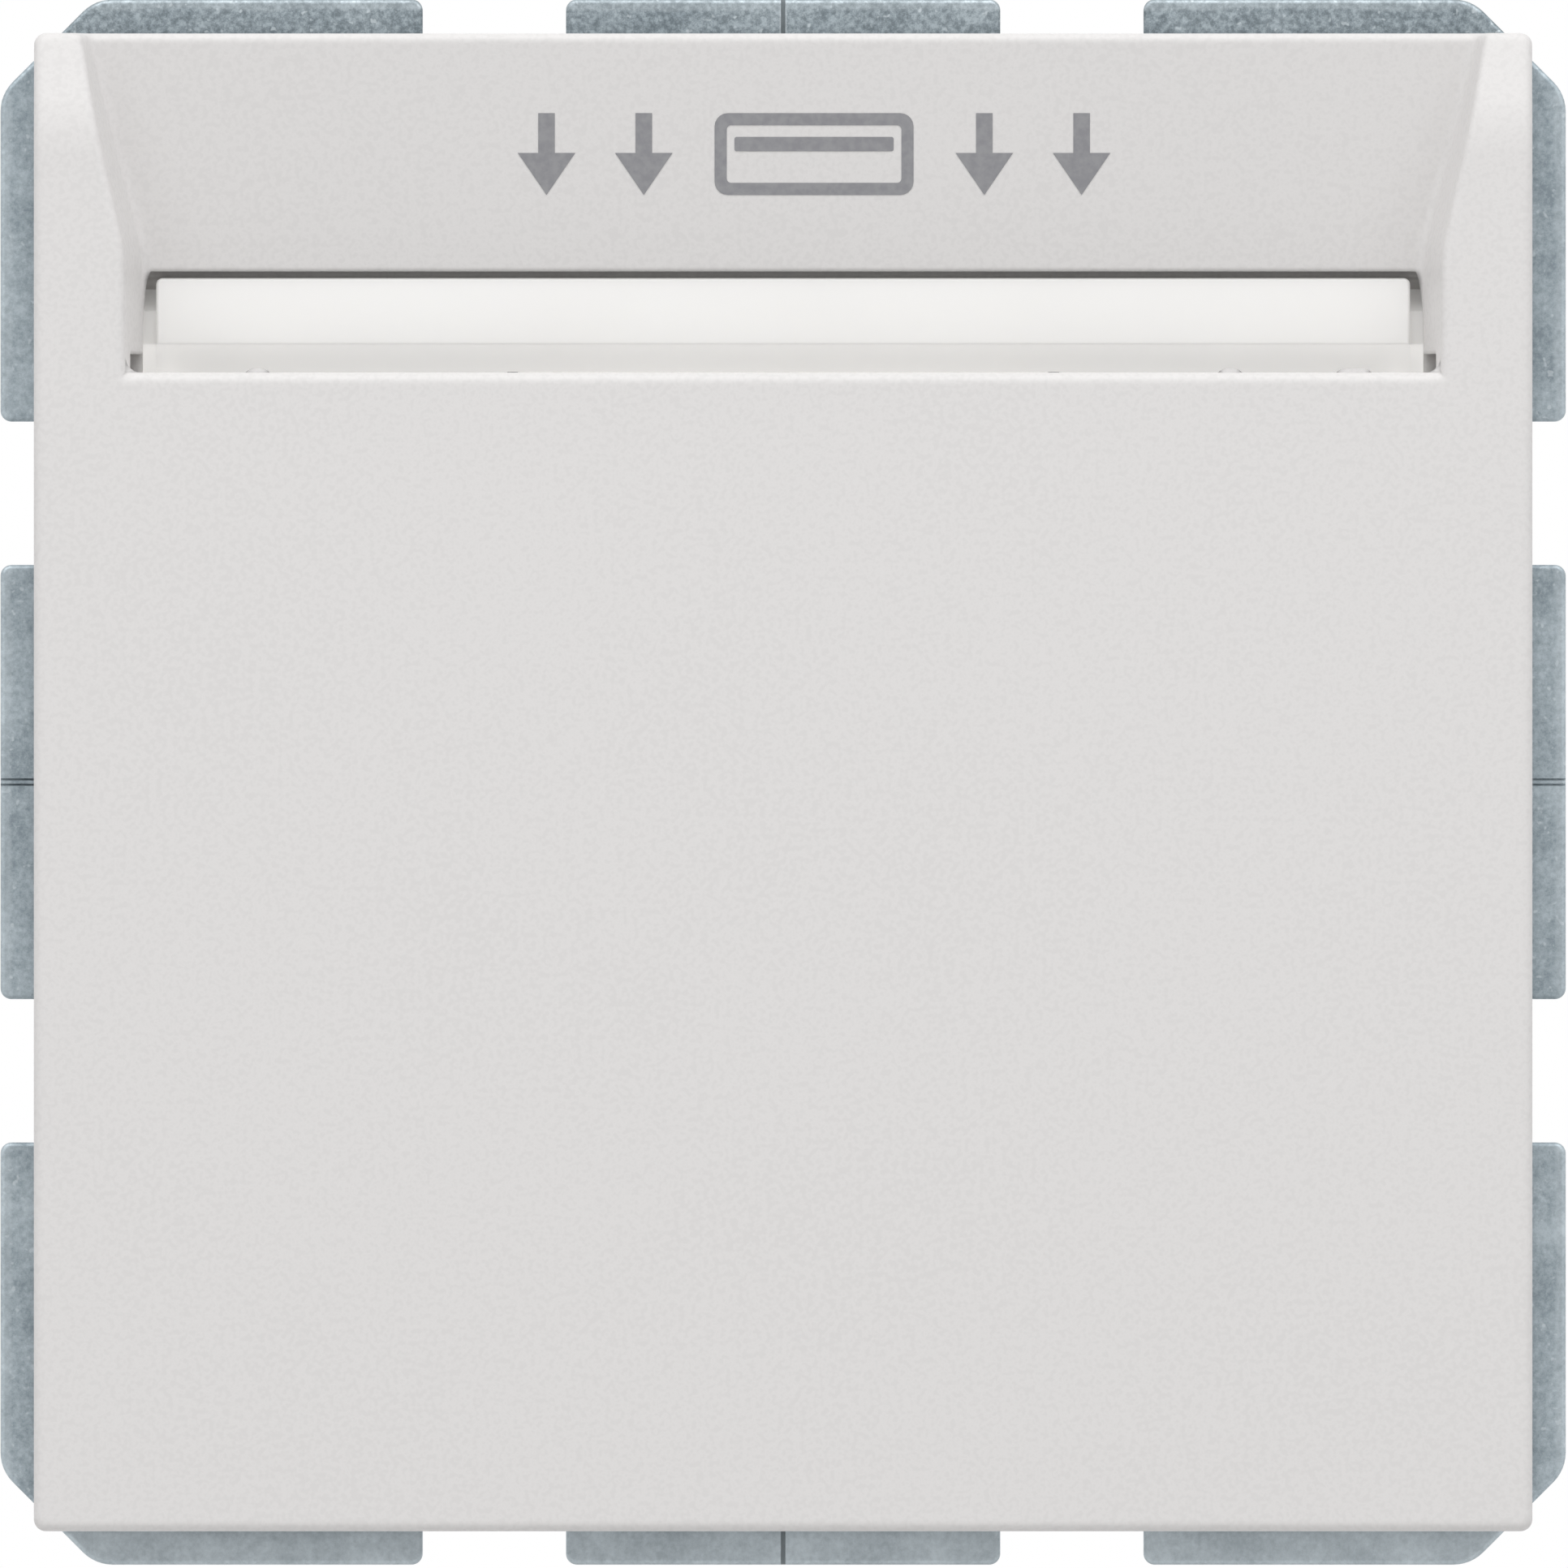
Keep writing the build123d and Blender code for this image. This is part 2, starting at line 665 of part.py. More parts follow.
# Card guide: the wall and rails that the card slides in, on four pillars
with BuildPart() as card_guide:
    slab((-rail_outer, rail_outer), (guide_back_out, guide_front_out), (guide_bottom_z, guide_top_z))
    slab((-rail_outer, rail_outer), (guide_back_out, rail_front_out), (guide_bottom_z, guide_floor_z))
    for sign in (1, -1):
        slab(
            mirrored_x(rail_inner, rail_outer, sign),
            (guide_back_out, rail_front_out),
            (guide_bottom_z, guide_top_z),
        )
        slab(
            mirrored_x(rail_outer - shoulder_width, bezel_outer, sign),
            (bar_rear_out - sliding_play - shoulder_thickness, bar_rear_out - sliding_play),
            (guide_top_z - shoulder_foot, bezel_top_z),
        )
        slab(
            mirrored_x(rail_outer - shoulder_width, rail_outer, sign),
            (bar_rear_out - sliding_play - shoulder_thickness, guide_back_out),
            (guide_top_z - shoulder_foot, guide_top_z),
        )
        # The bezel's side, outside the bar's flange
        slab(
            mirrored_x(slot_half + seat_play, bezel_outer, sign),
            (bar_rear_out - sliding_play - shoulder_thickness, bezel_front_out),
            (guide_top_z - shoulder_foot, bezel_top_z),
        )
        for peg_z in (peg_top_z, peg_bottom_z):
            slab(
                mirrored_x(rail_inner, skirt_inner - free_gap, sign),
                (ear_rear_out, guide_front_out),
                (peg_z - ear_height / 2, peg_z + ear_height / 2),
            )
        # The ears that carry the lever's pin
        with BuildSketch(Plane.YZ.offset(mirrored_x(lever_ear_inner, lever_ear_outer, sign)[0])):
            with Locations(side(lever_axis_out, lever_axis_z)):
                Circle(lever_ear_radius)
            with Locations(side((lever_axis_out + guide_back_out) / 2, lever_axis_z)):
                Rectangle(guide_back_out - lever_axis_out, 2 * lever_ear_radius)
        extrude(amount=lever_ear_wall)
    # The bezel's top, set back in the gap above the bar
    slab(
        (-bezel_outer, bezel_outer),
        (bar_rear_out - sliding_play - shoulder_thickness, bezel_front_out - bezel_top_setback),
        (bezel_low_z, bezel_top_z),
    )
    slab(
        (-bar_tongue_width / 2 - pocket_wall, bar_tongue_width / 2 + pocket_wall),
        (bar_tongue_rear_out - sliding_play - pocket_wall, guide_back_out),
        (bar_tongue_foot_z - free_gap - pocket_foot_wall, bar_tongue_foot_z + pocket_height),
    )
    slab(
        (-bar_tongue_width / 2 - sliding_play, bar_tongue_width / 2 + sliding_play),
        (bar_tongue_rear_out - sliding_play, guide_back_out),
        (bar_tongue_foot_z - free_gap, guide_top_z),
        Mode.SUBTRACT,
    )
    with BuildSketch(at_out(plate_thickness)):
        with GridLocations(2 * screw_x, 2 * screw_z, 2, 2):
            Circle(pillar_radius)
    extrude(amount=guide_back_out - plate_thickness)
    with BuildSketch(at_out(0)):
        with GridLocations(2 * screw_x, 2 * screw_z, 2, 2):
            Circle(screw_radius + sliding_play)
    extrude(amount=guide_front_out, mode=Mode.SUBTRACT)
    with BuildSketch(at_out(screw_seat_out)):
        with GridLocations(2 * screw_x, 2 * screw_z, 2, 2):
            Circle(screw_head_radius + sliding_play)
    extrude(amount=screw_head_height + screw_head_sink, mode=Mode.SUBTRACT)
    for sign in (1, -1):
        for peg_z in (peg_top_z, peg_bottom_z):
            slab(
                mirrored_x(peg_x - peg_width / 2 - sliding_play, peg_x + peg_width / 2 + sliding_play, sign),
                (ear_rear_out - overrun, guide_front_out + overrun),
                (peg_z - peg_height / 2 - sliding_play, peg_z + peg_height / 2 + sliding_play),
                Mode.SUBTRACT,
            )
        slab(
            mirrored_x(claw_screw_x - access_past_screw, rail_outer + overrun, sign),
            (guide_back_out - overrun, rail_front_out + overrun),
            (-access_width / 2, access_width / 2),
            Mode.SUBTRACT,
        )
    slab(
        (-access_width / 2, access_width / 2),
        (guide_back_out - overrun, rail_front_out + overrun),
        (guide_bottom_z - overrun, -box_screw_spacing / 2 + access_past_screw),
        Mode.SUBTRACT,
    )
    slab(
        (-nose_width / 2 - free_gap, nose_width / 2 + free_gap),
        (guide_back_out - overrun, guide_front_out + overrun),
        (lever_axis_z - nose_heel_drop - lever_window_foot, lever_axis_z - nose_root_drop),
        Mode.SUBTRACT,
    )
    rod(
        (-lever_ear_outer - overrun, -lever_axis_out, lever_axis_z),
        (1, 0, 0),
        lever_pin_radius + seat_play,
        2 * (lever_ear_outer + overrun),
        Mode.SUBTRACT,
    )
finish(card_guide, "card_guide")


# Card lever: the card pushes its nose towards the wall
with BuildPart() as card_lever:
    with BuildSketch(Plane.YZ):
        with Locations(side(lever_axis_out, lever_axis_z)):
            Circle(lever_hub_radius)
        with Locations(side(lever_axis_out, lever_axis_z - lever_web_length / 2)):
            Rectangle(lever_web, lever_web_length)
    extrude(amount=lever_width / 2, both=True)
    with BuildSketch(Plane.YZ) as nose_side:
        Polygon(
            side(lever_rear_out, lever_axis_z - nose_root_drop),
            side(lever_rear_out, lever_axis_z - lever_web_length),
            side(lever_front_out + nose_heel_out, lever_axis_z - nose_heel_drop),
            side(nose_tip_out, lever_axis_z - nose_tip_drop - nose_flat),
            side(nose_tip_out, lever_axis_z - nose_tip_drop),
            side(lever_front_out, lever_axis_z - nose_root_drop),
            align=None,
        )
        fillet(nose_side.vertices().group_by(Axis.X)[0], nose_round)
    extrude(amount=nose_width / 2, both=True)
    rod(
        (-lever_width, -lever_axis_out, lever_axis_z),
        (1, 0, 0),
        lever_pin_radius + running_play,
        2 * lever_width,
        Mode.SUBTRACT,
    )
finish(card_lever, "card_lever")

with BuildPart() as lever_pin:
    rod(
        (-lever_ear_outer, -lever_axis_out, lever_axis_z),
        (1, 0, 0),
        lever_pin_radius,
        2 * lever_ear_outer,
    )
finish(lever_pin, "lever_pin")


# Plunger: the lever pushes its dome, and its tail pushes the contact arm
with BuildPart() as plunger:
    with BuildSketch(Plane.YZ):
        with BuildLine():
            tail_end_deep = arm_front_deep - tail_gap
            dome_foot = side(plunger_tip_out - plunger_dome, plunger_z + plunger_radius)
            RadiusArc(
                side(plunger_tip_out, plunger_z),
                dome_foot,
                (plunger_radius**2 + plunger_dome**2) / (2 * plunger_dome),
            )
            Polyline(
                dome_foot,
                (flange_front_deep, plunger_z + plunger_radius),
                (flange_front_deep, plunger_z + plunger_flange_radius),
                (flange_rear_deep, plunger_z + plunger_flange_radius),
                (flange_rear_deep, plunger_z + plunger_tail_radius),
                (tail_end_deep - tail_round, plunger_z + plunger_tail_radius),
                (tail_end_deep, plunger_z + plunger_tail_radius - tail_round),
                (tail_end_deep, plunger_z),
                side(plunger_tip_out, plunger_z),
            )
        make_face()
    revolve(axis=Axis((0, 0, plunger_z), (0, 1, 0)))
finish(plunger, "plunger")

with BuildPart() as plunger_spring:
    spring_height = shelf_deep - flange_rear_deep - spring_wire
    with BuildLine() as spring_path:
        Helix(
            spring_height / spring_turns,
            spring_height,
            spring_radius,
            center=(0, flange_rear_deep + spring_wire / 2, plunger_z),
            direction=(0, 1, 0),
        )
    with BuildSketch(Plane(origin=spring_path.line @ 0, z_dir=spring_path.line % 0)):
        Circle(spring_wire / 2)
    sweep(is_frenet=True)
finish(plunger_spring, "plunger_spring")


# Housing: an eight-sided box with screw bosses, the plunger's shelf and the wire entries
def housing_outline(inset):
    """The housing's eight-sided outline, with every side moved inwards by inset."""
    slope = math.hypot(housing_corner_width, housing_corner_height)
    shrink = inset * (housing_corner_width + housing_corner_height - slope)
    cut_width = housing_corner_width - shrink / housing_corner_height
    cut_height = housing_corner_height - shrink / housing_corner_width
    half_width = housing_half_width - inset
    half_height = housing_half_height - inset
    corner = [(half_width, half_height - cut_height), (half_width - cut_width, half_height)]
    right_up = corner
    left_up = [(-x, z) for x, z in reversed(corner)]
    left_down = [(-x, -z) for x, z in corner]
    right_down = [(x, -z) for x, z in reversed(corner)]
    return right_up + left_up + left_down + right_down


with BuildPart() as housing_base:
    with BuildSketch(at_out(0)):
        Polygon(*housing_outline(0), align=None)
    extrude(amount=-housing_depth)
    fillet(housing_base.edges().filter_by(Axis.Y), housing_edge_round)
    fillet(housing_base.faces().sort_by(Axis.Y)[-1].edges(), housing_rear_round)
    with BuildSketch(at_out(0)):
        Polygon(*housing_outline(housing_wall), align=None)
    extrude(amount=-rear_inner_deep, mode=Mode.SUBTRACT)
    with BuildSketch(at_out(-cap_thickness)):
        with GridLocations(2 * screw_x, 2 * screw_z, 2, 2):
            Circle(boss_radius)
    extrude(amount=-boss_length)
    shelf_half = housing_half_width - housing_wall / 2
    shelf_z = (plunger_z - shelf_below, plunger_z + shelf_above)
    slab((-shelf_half, shelf_half), (-shelf_rear_deep, -shelf_deep), shelf_z)
    with BuildSketch(at_out(-cap_thickness)):
        with GridLocations(2 * screw_x, 2 * screw_z, 2, 2):
            Circle(screw_radius + seat_play)
    extrude(amount=-pilot_length, mode=Mode.SUBTRACT)
    tail_hole_radius = plunger_tail_radius + sliding_play
    tail_hole_length = shelf_wall + 2 * overrun
    rod((0, shelf_deep - overrun, plunger_z), (0, 1, 0), tail_hole_radius, tail_hole_length, Mode.SUBTRACT)
    with BuildSketch(at_out(-rear_inner_deep)):
        with GridLocations(2 * terminal_x, 2 * terminal_z, 2, 2):
            with GridLocations(wire_spacing, 0, 2, 1):
                Circle(wire_radius)
        with GridLocations(0, 2 * terminal_z, 1, 2):
            Rectangle(button_width + 2 * sliding_play, button_height + 2 * sliding_play)
    extrude(amount=-(rear_wall + overrun), mode=Mode.SUBTRACT)
    wire_mouths = housing_base.faces().sort_by(Axis.Y)[-1].inner_wires().edges().filter_by(GeomType.CIRCLE)
    chamfer(wire_mouths, wire_funnel)
finish(housing_base, "housing_base")

with BuildPart() as housing_cap:
    with BuildSketch(at_out(0)):
        Polygon(*housing_outline(housing_wall + sliding_play), align=None)
    extrude(amount=-cap_thickness)
    with BuildSketch(at_out(0)):
        RectangleRounded(
            window_width - 2 * sliding_play, window_height - 2 * sliding_play, window_round - sliding_play
        )
    extrude(amount=cap_front_out)
    fillet(housing_cap.faces().sort_by(Axis.Y)[0].edges(), cap_rise / 2)
    with BuildSketch(at_out(-cap_thickness)):
        with Locations((0, plunger_z)):
            Circle(plunger_radius + sliding_play)
        with GridLocations(2 * screw_x, 2 * screw_z, 2, 2):
            Circle(screw_radius + sliding_play)
        with Locations((0, lamp_z)):
            Rectangle(socket_width + 2 * free_gap, socket_height + 2 * free_gap)
    extrude(amount=cap_thickness + cap_front_out, mode=Mode.SUBTRACT)
finish(housing_cap, "housing_cap")

with BuildPart() as assembly_screws:
    with BuildSketch(at_out(screw_head_out)):
        with GridLocations(2 * screw_x, 2 * screw_z, 2, 2):
            Circle(screw_radius)
    extrude(amount=-screw_length)
    with BuildSketch(at_out(screw_head_out)):
        with GridLocations(2 * screw_x, 2 * screw_z, 2, 2):
            Circle(screw_head_radius)
    extrude(amount=-screw_head_height)
    with BuildSketch(at_out(screw_head_out)):
        with GridLocations(2 * screw_x, 2 * screw_z, 2, 2):
            for angle in (0, 90):
                Rectangle(2 * screw_head_radius - 2 * screw_slot_width, screw_slot_width, rotation=angle)
    extrude(amount=-screw_slot_depth, mode=Mode.SUBTRACT)
finish(assembly_screws, "assembly_screws")


# Contacts: an arm that swings between the break and the make contact
arm_half = arm_width / 2
with BuildPart() as contact_arm:
    slab((-arm_half, arm_half), (-arm_rear_deep, -arm_front_deep), (contact_z - arm_end_past, arm_pivot_z))
    rod((-arm_half, arm_mid_deep, arm_pivot_z), (1, 0, 0), arm_barrel_radius, arm_width)
    rod(
        (0, arm_front_deep - overrun, contact_z),
        (0, 1, 0),
        contact_shank_radius + seat_play,
        arm_thickness + 2 * overrun,
        Mode.SUBTRACT,
    )
finish(contact_arm, "contact_arm")

with BuildPart() as moving_contact:
    rod((0, arm_front_deep - contact_height, contact_z), (0, 1, 0), contact_radius, contact_height)
    rod((0, arm_front_deep, contact_z), (0, 1, 0), contact_shank_radius, arm_thickness)
    rod((0, arm_rear_deep, contact_z), (0, 1, 0), contact_radius, contact_height)
    for head_face in (Axis.Y, -Axis.Y):
        fillet(moving_contact.faces().sort_by(head_face)[-1].edges(), contact_round)
finish(moving_contact, "moving_contact")

with BuildPart() as fixed_contacts:
    rod((0, break_strip_rear_deep, contact_z), (0, 1, 0), contact_radius, contact_height)
    rod((0, make_strip_front_deep, contact_z), (0, -1, 0), contact_radius, contact_height)
finish(fixed_contacts, "fixed_contacts")


# Terminals: a cage for two wires each, open at the back and towards the middle
def cage(x_sign, z_sign):
    """A wire cage in the part being built, in one of the four corners."""
    z_outer = mirrored_x(cage_low_z, cage_high_z, z_sign)
    x_full = mirrored_x(cage_inner_x, cage_outer_x, x_sign)
    slab(x_full, (-rear_inner_deep, -cage_front_deep), z_outer)
    slab(
        mirrored_x(cage_inner_x - overrun, cage_outer_x - cage_wall, x_sign),
        (-rear_inner_deep - overrun, -cage_front_deep - cage_wall),
        mirrored_x(cage_low_z + cage_wall, cage_high_z - cage_wall, z_sign),
        Mode.SUBTRACT,
    )


def lamp_tongue(x_sign):
    """The tongue in the part being built, from a top cage to a lamp pin."""
    tongue_top_z = lamp_z - pin_radius - tongue_gap
    slab(
        mirrored_x(cage_inner_x - tongue_width / 2, cage_inner_x + tongue_width / 2, x_sign),
        (-cage_front_deep - cage_wall, -tongue_front_deep),
        (tongue_top_z - strip_thickness, tongue_top_z),
    )


strip_z = (contact_z - strip_height / 2, contact_z + strip_height / 2)
strip_end_x = contact_radius + strip_end_past

with BuildPart() as common_terminal:
    cage(1, 1)
    lamp_tongue(1)
    saddle_z = (arm_pivot_z, arm_pivot_z + saddle_height)
    slab((-arm_half, arm_half), (-cage_front_deep, -saddle_front_deep), saddle_z)
    slab(
        (-arm_half, terminal_x),
        (-cage_front_deep - strip_thickness, -cage_front_deep),
        (saddle_z[1] - strip_height, saddle_z[1]),
    )
    rod(
        (-arm_width, arm_mid_deep, arm_pivot_z),
        (1, 0, 0),
        arm_barrel_radius + running_play,
        2 * arm_width,
        Mode.SUBTRACT,
    )
finish(common_terminal, "common_terminal")

with BuildPart() as neutral_terminal:
    cage(-1, 1)
    lamp_tongue(-1)
finish(neutral_terminal, "neutral_terminal")

with BuildPart() as make_terminal:
    cage(1, -1)
    slab((-strip_end_x, cage_inner_x + cage_wall), (-make_strip_rear_deep, -make_strip_front_deep), strip_z)
finish(make_terminal, "make_terminal")

with BuildPart() as break_terminal:
    cage(-1, -1)
    slab(
        (-cage_inner_x - strip_thickness, -cage_inner_x),
        (-cage_front_deep - cage_wall, -shelf_rear_deep),
        strip_z,
    )
    slab((-cage_inner_x - strip_thickness, strip_end_x), (-break_strip_rear_deep, -shelf_rear_deep), strip_z)
finish(break_terminal, "break_terminal")

# Clamp springs: a leg along the cage's outer wall, and a leg across that bites the wire
with BuildPart() as clamp_springs:
    leg_z = cage_high_z - cage_wall
    bend_deep = rear_inner_deep - clamp_leg_rear_gap
    front_deep = cage_front_deep + cage_wall + clamp_leg_front_gap
    tip_z = cage_low_z + cage_wall + clamp_tip_gap
    clamp_x = cage_outer_x - cage_wall - sliding_play
    for x_sign in (1, -1):
        clamp_low_x = mirrored_x(clamp_x - clamp_width, clamp_x, x_sign)[0]
        for z_sign in (1, -1):
            with BuildSketch(Plane.YZ.offset(clamp_low_x)):
                Polygon(
                    *(
                        (deep, z_sign * z)
                        for deep, z in (
                            (front_deep, leg_z),
                            (bend_deep, leg_z),
                            (bend_deep, leg_z - 2 * clamp_thickness),
                            (front_deep + clamp_thickness, tip_z),
                            (front_deep, tip_z + clamp_thickness),
                            (bend_deep - 2 * clamp_thickness, leg_z - clamp_thickness),
                            (front_deep, leg_z - clamp_thickness),
                        )
                    ),
                    align=None,
                )
            extrude(amount=clamp_width)
finish(clamp_springs, "clamp_springs")

# Release buttons in the back wall, one for each row of terminals
for row_name, z_sign in (("top", 1), ("bottom", -1)):
    with BuildPart() as release_button:
        row_z = z_sign * terminal_z
        half_height = button_height / 2
        slab(
            (-button_width / 2, button_width / 2),
            (-housing_depth - button_travel, -rear_inner_deep),
            (row_z - half_height, row_z + half_height),
        )
        fillet(release_button.faces().sort_by(Axis.Y)[-1].edges(), button_round)
        slab(
            (-button_bar_width / 2, button_bar_width / 2),
            (-rear_inner_deep, -rear_inner_deep + button_bar),
            (row_z - half_height, row_z + half_height),
        )
        slab(
            (-button_stem_width / 2, button_stem_width / 2),
            (-rear_inner_deep + button_bar, -rear_inner_deep + button_bar + button_stem),
            (row_z - button_stem_height / 2, row_z + button_stem_height / 2),
        )
    finish(release_button, f"release_button_{row_name}")


# Orientation lamp: glass tube, electrodes, resistor and leads on a plug-in socket
lamp_half = lamp_length / 2
with BuildPart() as glow_lamp:
    rod((-lamp_half, -lamp_axis_out, lamp_z), (1, 0, 0), lamp_radius, lamp_length)
    fillet(glow_lamp.edges(), lamp_end_round)
    rod(
        (lamp_wall - lamp_half, -lamp_axis_out, lamp_z),
        (1, 0, 0),
        lamp_radius - lamp_wall,
        lamp_length - 2 * lamp_wall,
        Mode.SUBTRACT,
    )
finish(glow_lamp, "glow_lamp")

with BuildPart() as lamp_electrodes:
    for sign in (1, -1):
        rod(
            (sign * (lamp_half - lamp_wall), -lamp_axis_out, lamp_z + sign * electrode_gap / 2),
            (-sign, 0, 0),
            electrode_radius,
            electrode_length,
        )
finish(lamp_electrodes, "lamp_electrodes")

with BuildPart() as series_resistor:
    rod((lamp_pin_x, -resistor_front_out, lamp_z), (0, 1, 0), resistor_radius, resistor_length)
    fillet(series_resistor.edges(), lamp_end_round)
finish(series_resistor, "series_resistor")

with BuildPart() as lamp_leads:
    rod((-lamp_half, -lamp_axis_out, lamp_z), (-1, 0, 0), pin_radius, lamp_pin_x - lamp_half + pin_radius)
    rod((-lamp_pin_x, -lamp_axis_out, lamp_z), (0, 1, 0), pin_radius, lamp_axis_out + lamp_pin_deep)
    rod((lamp_half, -lamp_axis_out, lamp_z), (1, 0, 0), pin_radius, lamp_pin_x - lamp_half + pin_radius)
    rod((lamp_pin_x, -lamp_axis_out, lamp_z), (0, 1, 0), pin_radius, lamp_axis_out - resistor_front_out)
    rod((lamp_pin_x, -resistor_rear_out, lamp_z), (0, 1, 0), pin_radius, resistor_rear_out + lamp_pin_deep)
finish(lamp_leads, "lamp_leads")

with BuildPart() as lamp_socket:
    flange_half_width = socket_width / 2 + socket_flange
    flange_half_height = socket_height / 2 + socket_flange
    flange_front_out = plate_thickness + socket_flange_thickness
    slab(
        (-flange_half_width, flange_half_width),
        (plate_thickness, flange_front_out),
        (lamp_z - flange_half_height, lamp_z + flange_half_height),
    )
    slab(
        (-socket_width / 2, socket_width / 2),
        (-socket_deep, plate_thickness),
        (lamp_z - socket_height / 2, lamp_z + socket_height / 2),
    )
    for sign in (1, -1):
        rod(
            (sign * lamp_pin_x, -flange_front_out - overrun, lamp_z),
            (0, 1, 0),
            pin_radius + seat_play,
            flange_front_out + socket_deep + 2 * overrun,
            Mode.SUBTRACT,
        )
    rod(
        (lamp_pin_x, -flange_front_out - overrun, lamp_z),
        (0, 1, 0),
        resistor_radius + running_play,
        flange_front_out + overrun - resistor_rear_out,
        Mode.SUBTRACT,
    )
finish(lamp_socket, "lamp_socket")


# Spreader claws, which swing out as their screws are tightened
for side_name, sign in (("right", 1), ("left", -1)):
    with BuildPart() as claw:
        leg_inner_x = claw_screw_x + claw_leg_from_screw
        slant = claw_flare_out / claw_flare_length
        slant_thickness = claw_thickness * math.hypot(1, slant)
        kink_shift = (slant_thickness - claw_thickness) / slant
        with BuildSketch(Plane.XY.offset(-claw_width / 2)) as claw_top:
            Polygon(
                *(
                    (sign * x, deep)
                    for x, deep in (
                        (claw_screw_x - claw_tab_inner, claw_tab_deep),
                        (leg_inner_x, claw_tab_deep),
                        (leg_inner_x, claw_front_deep + claw_flare_length),
                        (leg_inner_x + claw_flare_out, claw_front_deep),
                        (leg_inner_x + claw_flare_out + slant_thickness, claw_front_deep),
                        (leg_inner_x + claw_thickness, claw_front_deep + claw_flare_length + kink_shift),
                        (leg_inner_x + claw_thickness, claw_tab_deep + claw_thickness),
                        (claw_screw_x - claw_tab_inner, claw_tab_deep + claw_thickness),
                    )
                ),
                align=None,
            )
            bend_inner = (sign * leg_inner_x, claw_tab_deep)
            bend_outer = (sign * (leg_inner_x + claw_thickness), claw_tab_deep + claw_thickness)
            fillet(claw_top.vertices().sort_by_distance(bend_outer)[0], claw_bend_round + claw_thickness)
            fillet(claw_top.vertices().sort_by_distance(bend_inner)[0], claw_bend_round)
        extrude(amount=claw_width)
        tooth_spacing = claw_width / claw_notches
        notch_half = (tooth_spacing - claw_tooth_tip) / 2
        with BuildSketch(Plane.YZ):
            with Locations((claw_front_deep, 0)):
                with GridLocations(0, tooth_spacing, 1, claw_notches):
                    Polygon(
                        (-overrun, -notch_half),
                        (0, -notch_half),
                        (claw_tooth_depth, 0),
                        (0, notch_half),
                        (-overrun, notch_half),
                        align=None,
                    )
        extrude(amount=plate_half, both=True, mode=Mode.SUBTRACT)
        rod(
            (sign * claw_screw_x, claw_tab_deep - overrun, 0),
            (0, 1, 0),
            claw_screw_radius + claw_hole_play,
            claw_thickness + 2 * overrun,
            Mode.SUBTRACT,
        )
    finish(claw, f"claw_{side_name}")

    with BuildPart() as claw_screw:
        head_out = plate_thickness + claw_head_height
        screw_end_deep = claw_tab_deep + claw_thickness + claw_screw_past_tab
        rod((sign * claw_screw_x, -head_out, 0), (0, 1, 0), claw_head_radius, claw_head_height)
        shank_length = plate_thickness + screw_end_deep
        rod((sign * claw_screw_x, -plate_thickness, 0), (0, 1, 0), claw_screw_radius, shank_length)
        slab(
            (sign * claw_screw_x - claw_head_radius, sign * claw_screw_x + claw_head_radius),
            (head_out - claw_driver_depth, head_out + overrun),
            (-claw_driver_width / 2, claw_driver_width / 2),
            Mode.SUBTRACT,
        )
    finish(claw_screw, f"claw_screw_{side_name}")
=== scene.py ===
"""Hotel key card switch: looks of a wall insert, seen square to its face, in metres."""

import math

import bpy
import numpy as np
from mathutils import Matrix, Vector


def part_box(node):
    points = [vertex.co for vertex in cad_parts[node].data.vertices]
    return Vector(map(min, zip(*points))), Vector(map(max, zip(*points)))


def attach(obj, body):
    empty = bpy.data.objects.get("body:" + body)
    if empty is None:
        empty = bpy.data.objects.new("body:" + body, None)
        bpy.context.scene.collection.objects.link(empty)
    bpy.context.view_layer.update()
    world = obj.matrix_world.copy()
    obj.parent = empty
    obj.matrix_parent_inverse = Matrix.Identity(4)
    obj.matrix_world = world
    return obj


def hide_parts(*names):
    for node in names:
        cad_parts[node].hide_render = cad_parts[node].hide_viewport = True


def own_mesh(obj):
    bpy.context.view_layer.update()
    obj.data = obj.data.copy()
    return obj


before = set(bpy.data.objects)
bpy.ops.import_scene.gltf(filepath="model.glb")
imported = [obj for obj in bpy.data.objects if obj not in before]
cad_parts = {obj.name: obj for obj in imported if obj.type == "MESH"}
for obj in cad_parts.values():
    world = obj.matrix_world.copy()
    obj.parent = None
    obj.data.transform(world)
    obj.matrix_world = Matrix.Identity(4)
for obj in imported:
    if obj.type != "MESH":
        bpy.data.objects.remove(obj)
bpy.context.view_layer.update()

MM = 0.001
PER_MM = 1 / MM

# The insert's own sizes in millimetres, as the part's source has them
slot_top_z = 23.1
facet_line_z = 19.85
cover_half = 33.85
plate_half = 35.5
ramp_foot_out = 9.5
ramp_lean = 1.4
housing_depth = 23.0
terminal_x = 10.0
terminal_z = 15.5
wire_spacing = 4.6
screw_x = 23.0
screw_radius = 1.5
screw_end_deep = 20.8
score_half = 0.1

# How far the tool leaves the white edges soft, in millimetres
edge_softness = 0.35


# Colour and node helpers


def srgb(code):
    """A hex colour as it is seen on screen, turned to the linear values that a shader takes."""
    values = np.array([int(code[i : i + 2], 16) for i in (1, 3, 5)]) / 255
    linear = np.where(values <= 0.04045, values / 12.92, ((values + 0.055) / 1.055) ** 2.4)
    return (*linear.tolist(), 1.0)


